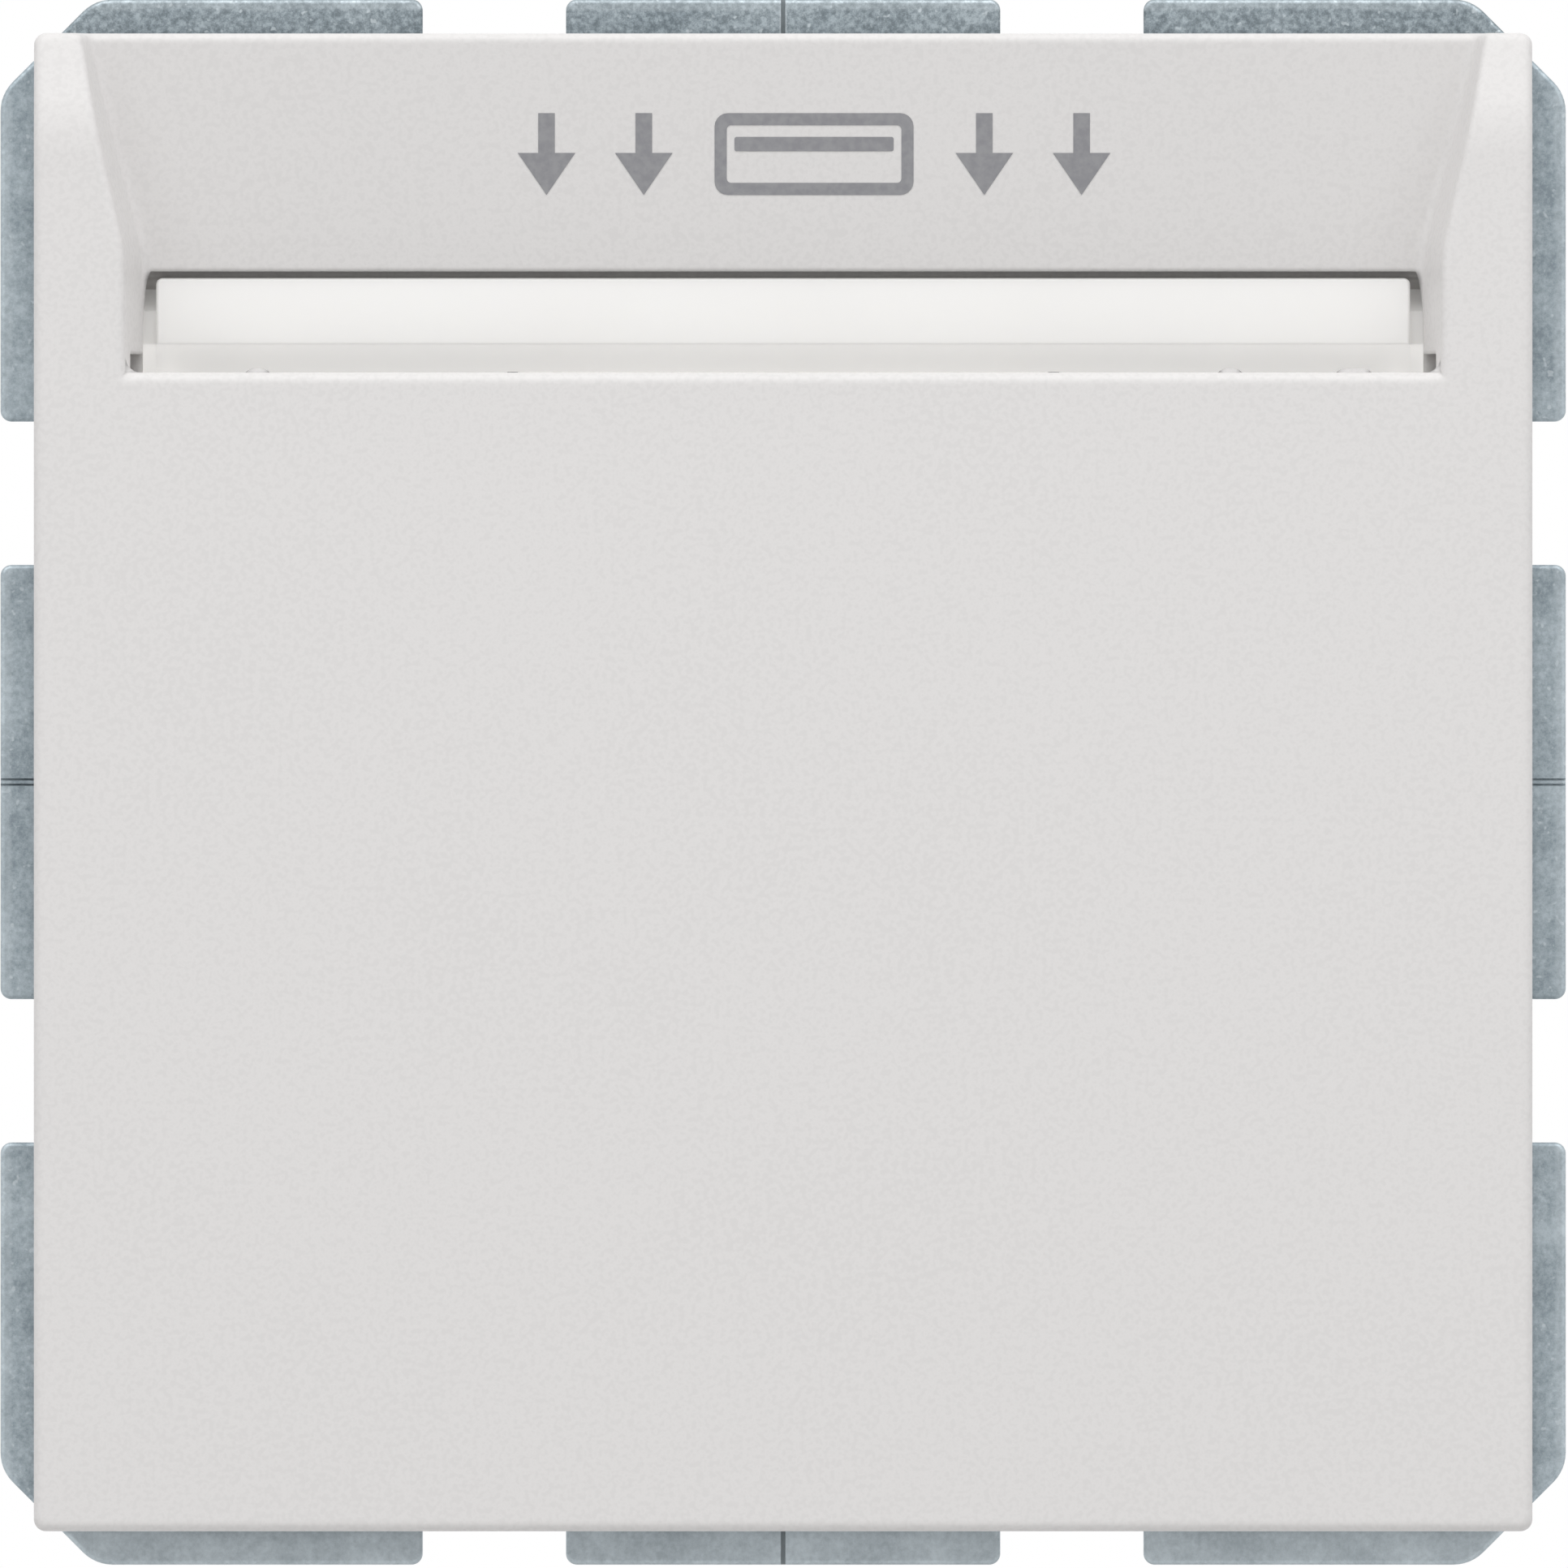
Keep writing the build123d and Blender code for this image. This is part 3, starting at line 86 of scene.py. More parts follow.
def add(tree, kind, inputs=(), **settings):
    """Adds a node with its settings, and fills or links its inputs."""
    made = tree.nodes.new(kind)
    for name, value in settings.items():
        setattr(made, name, value)
    for name, value in dict(inputs).items():
        socket = made.inputs[name]
        if isinstance(value, bpy.types.NodeSocket):
            tree.links.new(value, socket)
        else:
            socket.default_value = value
    return made


def new_material(name):
    """An empty material, its tree and the object's own coordinates."""
    made = bpy.data.materials.new(name)
    made.use_nodes = True
    made.node_tree.nodes.clear()
    place = add(made.node_tree, "ShaderNodeTexCoord").outputs["Object"]
    return made, made.node_tree, place


def grain(tree, place, size_mm, detail=2.0, roughness=0.5):
    """Noise with grains of about size_mm across."""
    inputs = {"Vector": place, "Scale": PER_MM / size_mm, "Detail": detail, "Roughness": roughness}
    return add(tree, "ShaderNodeTexNoise", inputs).outputs[0]


def spread(tree, value, low, high, stops):
    """A ramp of colours over value, from low to high."""
    ramp = add(tree, "ShaderNodeValToRGB", {"Fac": value})
    band = ramp.color_ramp
    for index, code in enumerate(stops):
        share = low + (high - low) * index / (len(stops) - 1)
        stop = band.elements[index] if index < 2 else band.elements.new(share)
        stop.color = srgb(code)
    for index, stop in enumerate(sorted(band.elements, key=lambda e: e.position)):
        stop.position = low + (high - low) * index / (len(stops) - 1)
    return ramp.outputs["Color"]


def between(tree, value, low, high, out_low, out_high):
    """Value carried from low..high to out_low..out_high, held at both ends."""
    inputs = {"Value": value, "From Min": low, "From Max": high, "To Min": out_low, "To Max": out_high}
    return add(tree, "ShaderNodeMapRange", inputs).outputs["Result"]


def math_of(tree, operation, first, second=0.0):
    """One sum of two values."""
    return add(tree, "ShaderNodeMath", {0: first, 1: second}, operation=operation).outputs[0]


def weighted(tree, first, second, share):
    """Two values added up: share of the first, and the rest of the second."""
    most = math_of(tree, "MULTIPLY", first, share)
    return math_of(tree, "ADD", most, math_of(tree, "MULTIPLY", second, 1 - share))


def largest(tree, *values):
    """The largest of several values."""
    result = values[0]
    for value in values[1:]:
        result = math_of(tree, "MAXIMUM", result, value)
    return result


def tinted(tree, factor, under, code):
    """The colour under, carried over to the colour of code by factor."""
    inputs = {"Factor": factor, "A": under, "B": srgb(code)}
    return add(tree, "ShaderNodeMix", inputs, data_type="RGBA").outputs["Result"]


def relief(tree, height, depth_mm, strength=1.0, under=None):
    """Bumps depth_mm deep where height goes from 0 to 1, over any bumps under them."""
    inputs = {"Height": height, "Distance": depth_mm * MM, "Strength": strength}
    if under is not None:
        inputs["Normal"] = under
    return add(tree, "ShaderNodeBump", inputs).outputs["Normal"]


def finish_with(tree, inputs):
    """The surface shader, from the values and links of a finish."""
    shader = add(tree, "ShaderNodeBsdfPrincipled", inputs)
    add(tree, "ShaderNodeOutputMaterial", {"Surface": shader.outputs["BSDF"]})


def shown_rays(tree):
    """1 for a ray that shows something: straight to the camera, through glass or in a reflection."""
    path = add(tree, "ShaderNodeLightPath")
    kinds = ("Is Camera Ray", "Is Transmission Ray", "Is Glossy Ray")
    return largest(tree, *(path.outputs[kind] for kind in kinds))


# Finishes


def spark_eroded_white(name, tones, grit_mm):
    """White thermoplastic moulded in a spark-eroded tool: matt, with tiny crests, a very faint
    cloudiness and edges that the tool leaves slightly soft. The crests are painted a little lighter
    than the hollows: a fine random grain that is also a painted highlight."""
    made, tree, place = new_material(name)
    crests = grain(tree, place, grit_mm, detail=1.0)
    clouds = grain(tree, place, 9.0, detail=1.0)
    mixed = weighted(tree, crests, clouds, 0.85)
    bevel = add(tree, "ShaderNodeBevel", {"Radius": edge_softness * MM}, samples=6)
    # Base colour: the raised crests a little lighter, a random grain that is also a painted highlight
    # on them.
    finish_with(
        tree,
        {
            "Base Color": spread(tree, mixed, 0.38, 0.74, tones),
            "Roughness": between(tree, crests, 0.3, 0.7, 0.56, 0.44),
            "IOR": 1.53,
            "Normal": relief(tree, crests, 0.003, strength=0.22, under=bevel.outputs["Normal"]),
        },
    )
    return made


def opal_diffuser():
    """Opal polycarbonate, polished: milky, with a soft gloss and faint flow clouds. It glows faintly,
    as the locator lamp behind it would light it. Its lower facet glows three times as much, and that
    extra glow is painted light standing in for the light the shaded facet lacks."""
    made, tree, place = new_material("opal_polycarbonate_polished")
    clouds = grain(tree, place, 9.0, detail=1.0)
    upward = add(tree, "ShaderNodeSeparateXYZ", {"Vector": place}).outputs["Z"]
    # The lower facet glows 0.24 and the rest of the bar 0.08. The faint glow stands for the locator
    # lamp, and the facet's extra glow is painted light.
    lamp_glow_and_painted_facet_light = between(tree, upward, (facet_line_z - 0.1) * MM, facet_line_z * MM, 0.24, 0.08)
    finish_with(
        tree,
        {
            "Base Color": spread(tree, clouds, 0.3, 0.7, ("#F4F3F1", "#F7F6F4")),
            "Roughness": between(tree, clouds, 0.3, 0.7, 0.3, 0.36),
            "IOR": 1.585,
            "Subsurface Weight": 0.25,
            "Subsurface Radius": (0.0015, 0.0015, 0.0014),
            "Subsurface Scale": 1.0,
            "Emission Color": srgb("#FFFEFC"),
            "Emission Strength": lamp_glow_and_painted_facet_light,
            "Normal": relief(tree, grain(tree, place, 1.6, detail=1.0), 0.004, strength=0.3),
        },
    )
    return made


def galvanised_sheet():
    """Cold-rolled steel, zinc plated and passivated: blue-grey, finely gritty, with soft cloudy
    patches, a few bright specks, a paler band along the blanked outer edge, and score marks. Painted
    shade darkens the top edge in coarse grains and fills the score marks' groove. Painted highlights
    brighten the burrs beside that groove, and painted light makes the bottom edge paler."""
    made, tree, place = new_material("zinc_plated_steel_sheet")
    grit = grain(tree, place, 0.28, detail=3.0, roughness=0.8)
    patches = grain(tree, place, 2.2, detail=2.0, roughness=0.6)
    mixed = weighted(tree, grit, patches, 0.6)
    bright = between(tree, grain(tree, place, 0.35, detail=1.0), 0.68, 0.76, 0.0, 0.55)
    parts = add(tree, "ShaderNodeSeparateXYZ", {"Vector": place})
    across = math_of(tree, "ABSOLUTE", parts.outputs["X"])
    upward = math_of(tree, "ABSOLUTE", parts.outputs["Z"])
    waver = math_of(tree, "MULTIPLY", grain(tree, place, 2.4, detail=2.0), 0.5 * MM)
    reach = math_of(tree, "ADD", largest(tree, across, upward), waver)
    # A paler band, wavering, along the blanked outer edge.
    pale_edge_band = between(tree, reach, (plate_half - 0.3) * MM, (plate_half - 0.15) * MM, 0.0, 0.22)
    # Painted highlight on both sides of the score marks, and painted shade in the groove between them.
    painted_burr_highlight = between(tree, across, (score_half + 0.02) * MM, (score_half + 0.1) * MM, 0.4, 0.0)
    groove = between(tree, across, (score_half - 0.01) * MM, (score_half + 0.02) * MM, 1.0, 0.0)
    # Painted shade: the top edge darkened towards #4E575B, in coarse grains.
    top = between(tree, parts.outputs["Z"], (cover_half - 0.6) * MM, cover_half * MM, 0.0, 1.0)
    pits = between(tree, grit, 0.38, 0.62, 0.52, 0.2)
    painted_shade = largest(tree, math_of(tree, "MULTIPLY", top, pits), groove)
    # Painted light: the bottom edge made paler, towards #D5DDE1.
    painted_bottom_light = between(tree, parts.outputs["Z"], -cover_half * MM, (0.6 - cover_half) * MM, 0.45, 0.0)
    plated = spread(tree, mixed, 0.36, 0.64, ("#96A2A9", "#BDC8CE"))
    with_painted_shade = tinted(tree, painted_shade, plated, "#4E575B")
    finish_with(
        tree,
        {
            "Base Color": tinted(tree, largest(tree, bright, pale_edge_band, painted_burr_highlight, painted_bottom_light), with_painted_shade, "#D5DDE1"),
            "Metallic": 1.0,
            "Roughness": between(tree, mixed, 0.35, 0.65, 0.62, 0.5),
            "Normal": relief(tree, mixed, 0.006, strength=0.3),
        },
    )
    return made


def bright_steel():
    """Steel wire and screws, bright zinc plated: silvery, with fine drawing lines and dull clouds."""
    made, tree, place = new_material("bright_zinc_steel")
    clouds = grain(tree, place, 1.4, detail=2.0)
    lines = grain(tree, place, 0.18, detail=1.0)
    finish_with(
        tree,
        {
            "Base Color": spread(tree, clouds, 0.35, 0.65, ("#B4BABE", "#D0D5D8")),
            "Metallic": 1.0,
            "Roughness": between(tree, clouds, 0.35, 0.65, 0.34, 0.24),
            "Normal": relief(tree, lines, 0.006, strength=0.35),
        },
    )
    return made


def natural_acetal():
    """Natural acetal, moulded: off-white and waxy, slightly translucent, with a slippery sheen."""
    made, tree, place = new_material("natural_acetal_moulded")
    clouds = grain(tree, place, 3.0, detail=2.0)
    finish_with(
        tree,
        {
            "Base Color": spread(tree, clouds, 0.35, 0.65, ("#DCD9CC", "#E8E6DC")),
            "Roughness": between(tree, clouds, 0.35, 0.65, 0.44, 0.36),
            "IOR": 1.48,
            "Subsurface Weight": 0.08,
            "Subsurface Radius": (0.0009, 0.0009, 0.0008),
            "Subsurface Scale": 1.0,
            "Normal": relief(tree, grain(tree, place, 0.35, detail=1.0), 0.006, strength=0.3),
        },
    )
    return made


def dark_thermoset():
    """Mineral-filled thermoset, compression moulded: dark grey, with pale flecks and a dull skin."""
    made, tree, place = new_material("dark_thermoset_moulded")
    cells = add(tree, "ShaderNodeTexVoronoi", {"Vector": place, "Scale": PER_MM / 0.55})
    flecks = between(tree, cells.outputs["Distance"], 0.05, 0.17, 1.0, 0.0)
    flow = grain(tree, place, 4.0, detail=3.0)
    resin = spread(tree, flow, 0.3, 0.7, ("#303336", "#3B3F43"))
    finish_with(
        tree,
        {
            "Base Color": tinted(tree, math_of(tree, "MULTIPLY", flecks, 0.3), resin, "#777B7E"),
            "Roughness": between(tree, flow, 0.3, 0.7, 0.5, 0.4),
            "IOR": 1.6,
            "Normal": relief(tree, grain(tree, place, 0.2, detail=2.0), 0.01, strength=0.4),
        },
    )
    return made


def satin_orange():
    """Orange polyamide, moulded satin: strongly coloured, with a soft sheen and a fine eroded grain."""
    made, tree, place = new_material("orange_polyamide_satin")
    clouds = grain(tree, place, 2.0, detail=2.0)
    finish_with(
        tree,
        {
            "Base Color": spread(tree, clouds, 0.35, 0.65, ("#DB6A1E", "#E5792B")),
            "Roughness": between(tree, clouds, 0.35, 0.65, 0.46, 0.38),
            "IOR": 1.53,
            "Normal": relief(tree, grain(tree, place, 0.16, detail=1.0), 0.008, strength=0.4),
        },
    )
    return made


def stamped_brass():
    """Brass strip, stamped and bent: warm yellow, with rolling lines along it and a light tarnish."""
    made, tree, place = new_material("stamped_brass_strip")
    lines = add(tree, "ShaderNodeMapping", {"Vector": place, "Scale": (1.0, 1.0, 0.12)}).outputs[0]
    rolled = grain(tree, lines, 0.12, detail=2.0)
    tarnish = grain(tree, place, 1.8, detail=3.0)
    finish_with(
        tree,
        {
            "Base Color": spread(tree, tarnish, 0.32, 0.68, ("#B08D45", "#CDAA5C", "#DCBE74")),
            "Metallic": 1.0,
            "Roughness": between(tree, tarnish, 0.3, 0.7, 0.4, 0.26),
            "Normal": relief(tree, rolled, 0.004, strength=0.35),
        },
    )
    return made


def contact_silver():
    """Silver alloy rivet heads, cold headed: pale and soft, with a dull grey film in patches."""
    made, tree, place = new_material("silver_contact_rivet")
    film = grain(tree, place, 0.7, detail=3.0)
    finish_with(
        tree,
        {
            "Base Color": spread(tree, film, 0.35, 0.65, ("#BDBBB4", "#DDDBD4")),
            "Metallic": 1.0,
            "Roughness": between(tree, film, 0.35, 0.65, 0.38, 0.22),
            "Normal": relief(tree, film, 0.01, strength=0.3),
        },
    )
    return made


def lamp_glass():
    """Soda-lime glass tube of a neon lamp: clear, thin, with a faint unevenness where it was drawn."""
    made, tree, place = new_material("drawn_lamp_glass")
    finish_with(
        tree,
        {
            "Base Color": srgb("#F6FAF8"),
            "Roughness": between(tree, grain(tree, place, 2.5, detail=1.0), 0.3, 0.7, 0.02, 0.05),
            "IOR": 1.52,
            "Transmission Weight": 0.92,
            "Normal": relief(tree, grain(tree, place, 1.2, detail=1.0), 0.01, strength=0.2),
        },
    )
    return made


def lacquered_resistor():
    """Film resistor dipped in lacquer: sandy body, glossy, with four painted rings along its length."""
    made, tree, place = new_material("lacquered_resistor_body")
    deep = add(tree, "ShaderNodeSeparateXYZ", {"Vector": place}).outputs["Y"]
    low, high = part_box("series_resistor")
    colour = spread(tree, grain(tree, place, 0.9, detail=2.0), 0.35, 0.65, ("#C9B48A", "#D6C49C"))
    for share, tone in ((0.2, "#7A4A2A"), (0.38, "#2E2E30"), (0.56, "#C7A23A"), (0.8, "#B08A3C")):
        middle = low[1] + (high[1] - low[1]) * share
        away = math_of(tree, "ABSOLUTE", math_of(tree, "SUBTRACT", deep, middle))
        ring = between(tree, away, 0.2 * MM, 0.24 * MM, 1.0, 0.0)
        colour = tinted(tree, ring, colour, tone)
    finish_with(
        tree,
        {
            "Base Color": colour,
            "Roughness": 0.28,
            "IOR": 1.5,
            "Normal": relief(tree, grain(tree, place, 0.4, detail=1.0), 0.01, strength=0.25),
        },
    )
    return made


def pad_printed_ink():
    """Grey pad-printed ink on the ramp: flat, thin, a little blotchy, with fine grain under it."""
    made, tree, place = new_material("grey_pad_printed_ink")
    blotch = grain(tree, place, 0.35, detail=2.0)
    finish_with(
        tree,
        {
            "Base Color": spread(tree, blotch, 0.35, 0.65, ("#8E8E92", "#98989B")),
            "Roughness": between(tree, blotch, 0.35, 0.65, 0.62, 0.5),
            "IOR": 1.5,
            "Normal": relief(tree, grain(tree, place, 0.2, detail=1.0), 0.008, strength=0.4),
        },
    )
    return made


cover_tones = ("#E0DEDD", "#E1DFDE", "#E5E3E2")
carrier_tones = ("#E3E1DF", "#E5E3E1", "#E9E7E5")
white_cover = spark_eroded_white("white_thermoplastic_spark_eroded", cover_tones, 0.26)
white_carrier = spark_eroded_white("white_thermoplastic_carrier", carrier_tones, 0.3)
brass_nodes = ("common_terminal", "neutral_terminal", "make_terminal", "break_terminal", "contact_arm")
finishes = {
    white_cover: ("centre_plate",),
    white_carrier: ("card_guide",),
    opal_diffuser(): ("light_bar",),
    galvanised_sheet(): ("support_plate", "claw_right", "claw_left"),
    bright_steel(): (
        "lever_pin",
        "plunger_spring",
        "assembly_screws",
        "clamp_springs",
        "lamp_electrodes",
        "lamp_leads",
        "claw_screw_right",
        "claw_screw_left",
    ),
    natural_acetal(): ("card_lever", "plunger"),
    dark_thermoset(): ("housing_base", "housing_cap", "lamp_socket"),
    satin_orange(): ("release_button_top", "release_button_bottom"),
    stamped_brass(): brass_nodes,
    contact_silver(): ("moving_contact", "fixed_contacts"),
    lamp_glass(): ("glow_lamp",),
    lacquered_resistor(): ("series_resistor",),
}
for finish, names in finishes.items():
    for name in names:
        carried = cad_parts[name]
        carried.data.materials.clear()
        carried.data.materials.append(finish)
unpainted = sorted(set(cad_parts) - {name for names in finishes.values() for name in names})
if unpainted:
    raise ValueError(f"nodes with no finish: {unpainted}")


# New pieces, each a mesh worked out from arrays, with its sizes in millimetres


def new_piece(name, points, faces, finish, body, slot):
    """A piece from its points in millimetres and its faces, on a body and with a finish. The slot is
    not used.
    """
    mesh = bpy.data.meshes.new(name)
    mesh.from_pydata((np.asarray(points) * MM).tolist(), [], faces)
    mesh.validate()
    mesh.materials.append(finish)
    piece = bpy.data.objects.new(name, mesh)
    bpy.context.scene.collection.objects.link(piece)
    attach(piece, body)
    return piece


def prism(outline, place, thickness):
    """A closed flat piece: the outline's points (u, v), placed by place(u, v, w) at w = 0 and
    w = thickness, with one face at each end and a quad along each side."""
    u, v = np.asarray(outline, float).T
    near = place(u, v, np.zeros_like(u))
    far = place(u, v, np.full_like(u, thickness))
    count = len(u)
    step = np.arange(count)
    after = np.roll(step, -1)
    sides = np.stack([step, after, after + count, step + count], axis=1)
    faces = [step[::-1].tolist(), (step + count).tolist(), *sides.tolist()]
    return np.concatenate([near, far]), faces


def rounded_box_outline(width, height, radius, corner_steps=6):
    """A rectangle's outline with round corners: a quarter circle about each corner's own centre."""
    angle = np.linspace(0, math.pi / 2, corner_steps)
    turns = np.repeat(np.arange(4) * math.pi / 2, corner_steps)
    sign_u = np.repeat([1, -1, -1, 1], corner_steps)
    sign_v = np.repeat([1, 1, -1, -1], corner_steps)
    around = np.tile(angle, 4) + turns
    u = sign_u * (width / 2 - radius) + radius * np.cos(around)
    v = sign_v * (height / 2 - radius) + radius * np.sin(around)
    return np.stack([u, v], axis=1)


def frame_prism(outer, inner, place, thickness):
    """A closed flat frame between two outlines with as many points: quads between them at both ends,
    and quads along the outer and the inner side."""
    count = len(outer)
    loops = []
    for level in (0.0, thickness):
        for loop in (outer, inner):
            loops.append(place(*np.asarray(loop).T, np.full(count, level)))
    step = np.arange(count)
    after = np.roll(step, -1)
    near_outer, near_inner, far_outer, far_inner = (count * k for k in range(4))
    sides = (
        (near_inner, near_outer),
        (far_outer, far_inner),
        (near_outer, far_outer),
        (far_inner, near_inner),
    )
    quads = [np.stack([step + a, after + a, after + b, step + b], axis=1) for a, b in sides]
    return np.concatenate(loops), np.concatenate(quads).tolist()


def gathered(parts):
    """Several meshes as one: their points one after another, and their faces counted on."""
    points, faces, start = [], [], 0
    for some_points, some_faces in parts:
        points.append(some_points)
        faces.extend([[index + start for index in face] for face in some_faces])
        start += len(some_points)
    return np.concatenate(points), faces


# Pictogram printed on the ramp above the slot: a key card between arrows that point down into it
print_middle_x = 1.4
print_middle_z = 28.4
print_height = 3.7
print_thickness = 0.02
print_sink = 0.01
card_mark_width = 9.0
card_mark_round = 0.6
card_mark_inner_round = 0.2
stroke = 0.55
stripe_margin = 0.35
stripe_height = 0.65
stripe_round = 0.1
stripe_above_middle = 0.45
arrow_from_middle = (7.7, 12.1)
arrow_width = 2.6
arrow_head = 1.9
arrow_shaft = 0.75


def on_ramp(u, v, w):
    """The ramp's face: it leans forwards by ramp_lean from its foot to the cover's top, and w stands
    off it."""
    z = print_middle_z + v
    face_out = ramp_foot_out + ramp_lean * (z - slot_top_z) / (cover_half - slot_top_z)
    return np.stack([print_middle_x + u, -(face_out + w - print_sink), z], axis=1)


def arrow_outline(middle):
    """A down arrow: a shaft from the top to the head's shoulders, and a head that comes to a point."""
    top, tip = print_height / 2, -print_height / 2
    shoulder = tip + arrow_head
    half_shaft, half_head = arrow_shaft / 2, arrow_width / 2
    u = np.array([-half_shaft, -half_shaft, -half_head, 0.0, half_head, half_shaft, half_shaft])
    v = np.array([top, shoulder, shoulder, tip, shoulder, shoulder, top])
    return np.stack([u + middle, v], axis=1)


inner_width, inner_height = card_mark_width - 2 * stroke, print_height - 2 * stroke
stripe_width = inner_width - 2 * stripe_margin
card_outer = rounded_box_outline(card_mark_width, print_height, card_mark_round)
card_inner = rounded_box_outline(inner_width, inner_height, card_mark_inner_round)
stripe = rounded_box_outline(stripe_width, stripe_height, stripe_round) + [0, stripe_above_middle]
ink_height = print_thickness + print_sink
printed = [frame_prism(card_outer, card_inner, on_ramp, ink_height), prism(stripe, on_ramp, ink_height)]
for side in (1, -1):
    for away in arrow_from_middle:
        printed.append(prism(arrow_outline(side * away), on_ramp, ink_height))
new_piece("ramp_pictogram", *gathered(printed), pad_printed_ink(), "cover", "white_plastic")

# Claw screws: a slotted pan head over a rolled thread, each standing for its plain solid
head_radius = 2.7
head_out = 2.7
plate_out = 1.2
driver_half = 0.4
driver_depth = 0.8
head_edge_round = 0.35
thread_spacing = 0.5
thread_depth = 0.27
thread_start_deep = 0.6
flank_slope = 1.25
crest_flat = 0.1
tip_length = 0.6
tip_taper = 0.35
shank_into_head = 0.1
lobe_into_disc = 0.05
around_steps = 40
rows_per_thread = 8
edge_round_steps = 6


def stacked_rings(rings):
    """A closed skin over rings of as many points, from the first to the last: quads between
    neighbouring rings, and one face over each end."""
    rows, count = rings.shape[:2]
    step = np.arange(count)
    row = np.arange(rows - 1)[:, None] * count
    after = np.roll(step, -1)
    quads = np.stack([row + step, row + after, row + after + count, row + step + count], axis=2)
    ends = [step[::-1].tolist(), (step + (rows - 1) * count).tolist()]
    return rings.reshape(-1, 3), [*quads.reshape(-1, 4).tolist(), *ends]


def screw_shank(axis_x):
    """A shank along Y: its radius is the crest's less thread_depth times a groove that comes once in
    each thread_spacing along the axis and moves on by one spacing in each turn about it. The shank
    is plain before thread_start_deep and tapered over tip_length at its end."""
    rows = int((screw_end_deep + plate_out) / thread_spacing * rows_per_thread)
    deep = np.linspace(-plate_out - shank_into_head, screw_end_deep, rows)[:, None]
    angle = np.linspace(0, 2 * math.pi, around_steps, endpoint=False)[None, :]
    phase = (deep / thread_spacing + angle / (2 * math.pi)) % 1.0
    groove = np.clip(flank_slope * np.abs(2 * phase - 1) - crest_flat, 0, 1)
    run_in = np.clip((deep - thread_start_deep) / thread_spacing, 0, 1)
    tip = np.clip((deep - screw_end_deep + tip_length) / tip_length, 0, 1)
    radius = screw_radius - thread_depth * groove * run_in - tip_taper * tip
    x = axis_x + radius * np.cos(angle)
    z = -radius * np.sin(angle)
    return stacked_rings(np.stack([x, np.broadcast_to(deep, x.shape), z], axis=2))


def head_disc(axis_x):
    """The head's round base under the driver slot: one circle carried along Y."""
    angle = np.linspace(0, 2 * math.pi, around_steps, endpoint=False)
    levels = np.array([-(head_out - driver_depth), -plate_out])[:, None]
    x = np.broadcast_to(axis_x + head_radius * np.cos(angle), (2, around_steps))
    z = np.broadcast_to(-head_radius * np.sin(angle), (2, around_steps))
    return stacked_rings(np.stack([x, np.broadcast_to(levels, x.shape), z], axis=2))


def head_lobe(axis_x, side):
    """One half of the head beside the driver slot: arcs from one end of the slot's wall to the other,
    carried out along Y, whose radius shrinks along a quarter circle at the outer edge."""
    turn = np.linspace(0, math.pi / 2, edge_round_steps)
    radius = np.concatenate([[head_radius], head_radius - head_edge_round * (1 - np.cos(turn))])
    foot_out = head_out - driver_depth - lobe_into_disc
    out = np.concatenate([[foot_out], head_out - head_edge_round + head_edge_round * np.sin(turn)])
    start = np.arcsin(driver_half / radius)[:, None]
    share = np.linspace(0, 1, around_steps)[None, :]
    angle = start + share * (math.pi - 2 * start)
    x = axis_x + side * radius[:, None] * np.cos(angle)
    z = side * radius[:, None] * np.sin(angle)
    return stacked_rings(np.stack([x, np.broadcast_to(-out[:, None], x.shape), z], axis=2))


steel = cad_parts["claw_screw_right"].data.materials[0]
for side_name, side in (("right", 1), ("left", -1)):
    axis_x = side * screw_x
    parts = [screw_shank(axis_x), head_disc(axis_x), head_lobe(axis_x, 1), head_lobe(axis_x, -1)]
    name, body = f"claw_screw_threaded_{side_name}", f"screw_{side_name}"
    screw = new_piece(name, *gathered(parts), steel, body, "bright_steel")
    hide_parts(f"claw_screw_{side_name}")

# Plunger spring: coils with closed ends between the plunger's flange and the housing's shelf
spring_z = -9.0
spring_front_deep = 2.7
spring_rear_deep = 6.6
spring_radius = 2.3
spring_wire_radius = 0.225
spring_turns = 4.25
spring_closed_turns = 0.5
steps_per_turn = 36
wire_steps = 12


def spring_coils():
    """A round wire along a helix about Y: the wire's middle stays level for spring_closed_turns at
    each end and rises evenly between them, and each ring lies across the wire, from its outward and
    its sideways direction."""
    turns = np.linspace(0, spring_turns, int(spring_turns * steps_per_turn))[:, None]
    rising = spring_turns - 2 * spring_closed_turns
    low, high = spring_front_deep + spring_wire_radius, spring_rear_deep - spring_wire_radius
    share = np.clip((turns - spring_closed_turns) / rising, 0, 1)
    angle = 2 * math.pi * turns
    zero = np.zeros_like(angle)
    outward = np.concatenate([np.cos(angle), zero, -np.sin(angle)], axis=1)
    middle = spring_radius * outward
    middle[:, 1:2] += low + (high - low) * share
    middle[:, 2] += spring_z
    along = np.gradient(middle, axis=0)
    along /= np.linalg.norm(along, axis=1, keepdims=True)
    sideways = np.cross(along, outward)
    around = np.linspace(0, 2 * math.pi, wire_steps, endpoint=False)[None, :, None]
    ring = np.cos(around) * outward[:, None, :] + np.sin(around) * sideways[:, None, :]
    return stacked_rings(middle[:, None, :] + spring_wire_radius * ring)


spring = new_piece("plunger_spring_coils", *spring_coils(), steel, "base", "bright_steel")
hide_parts("plunger_spring")
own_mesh(spring)

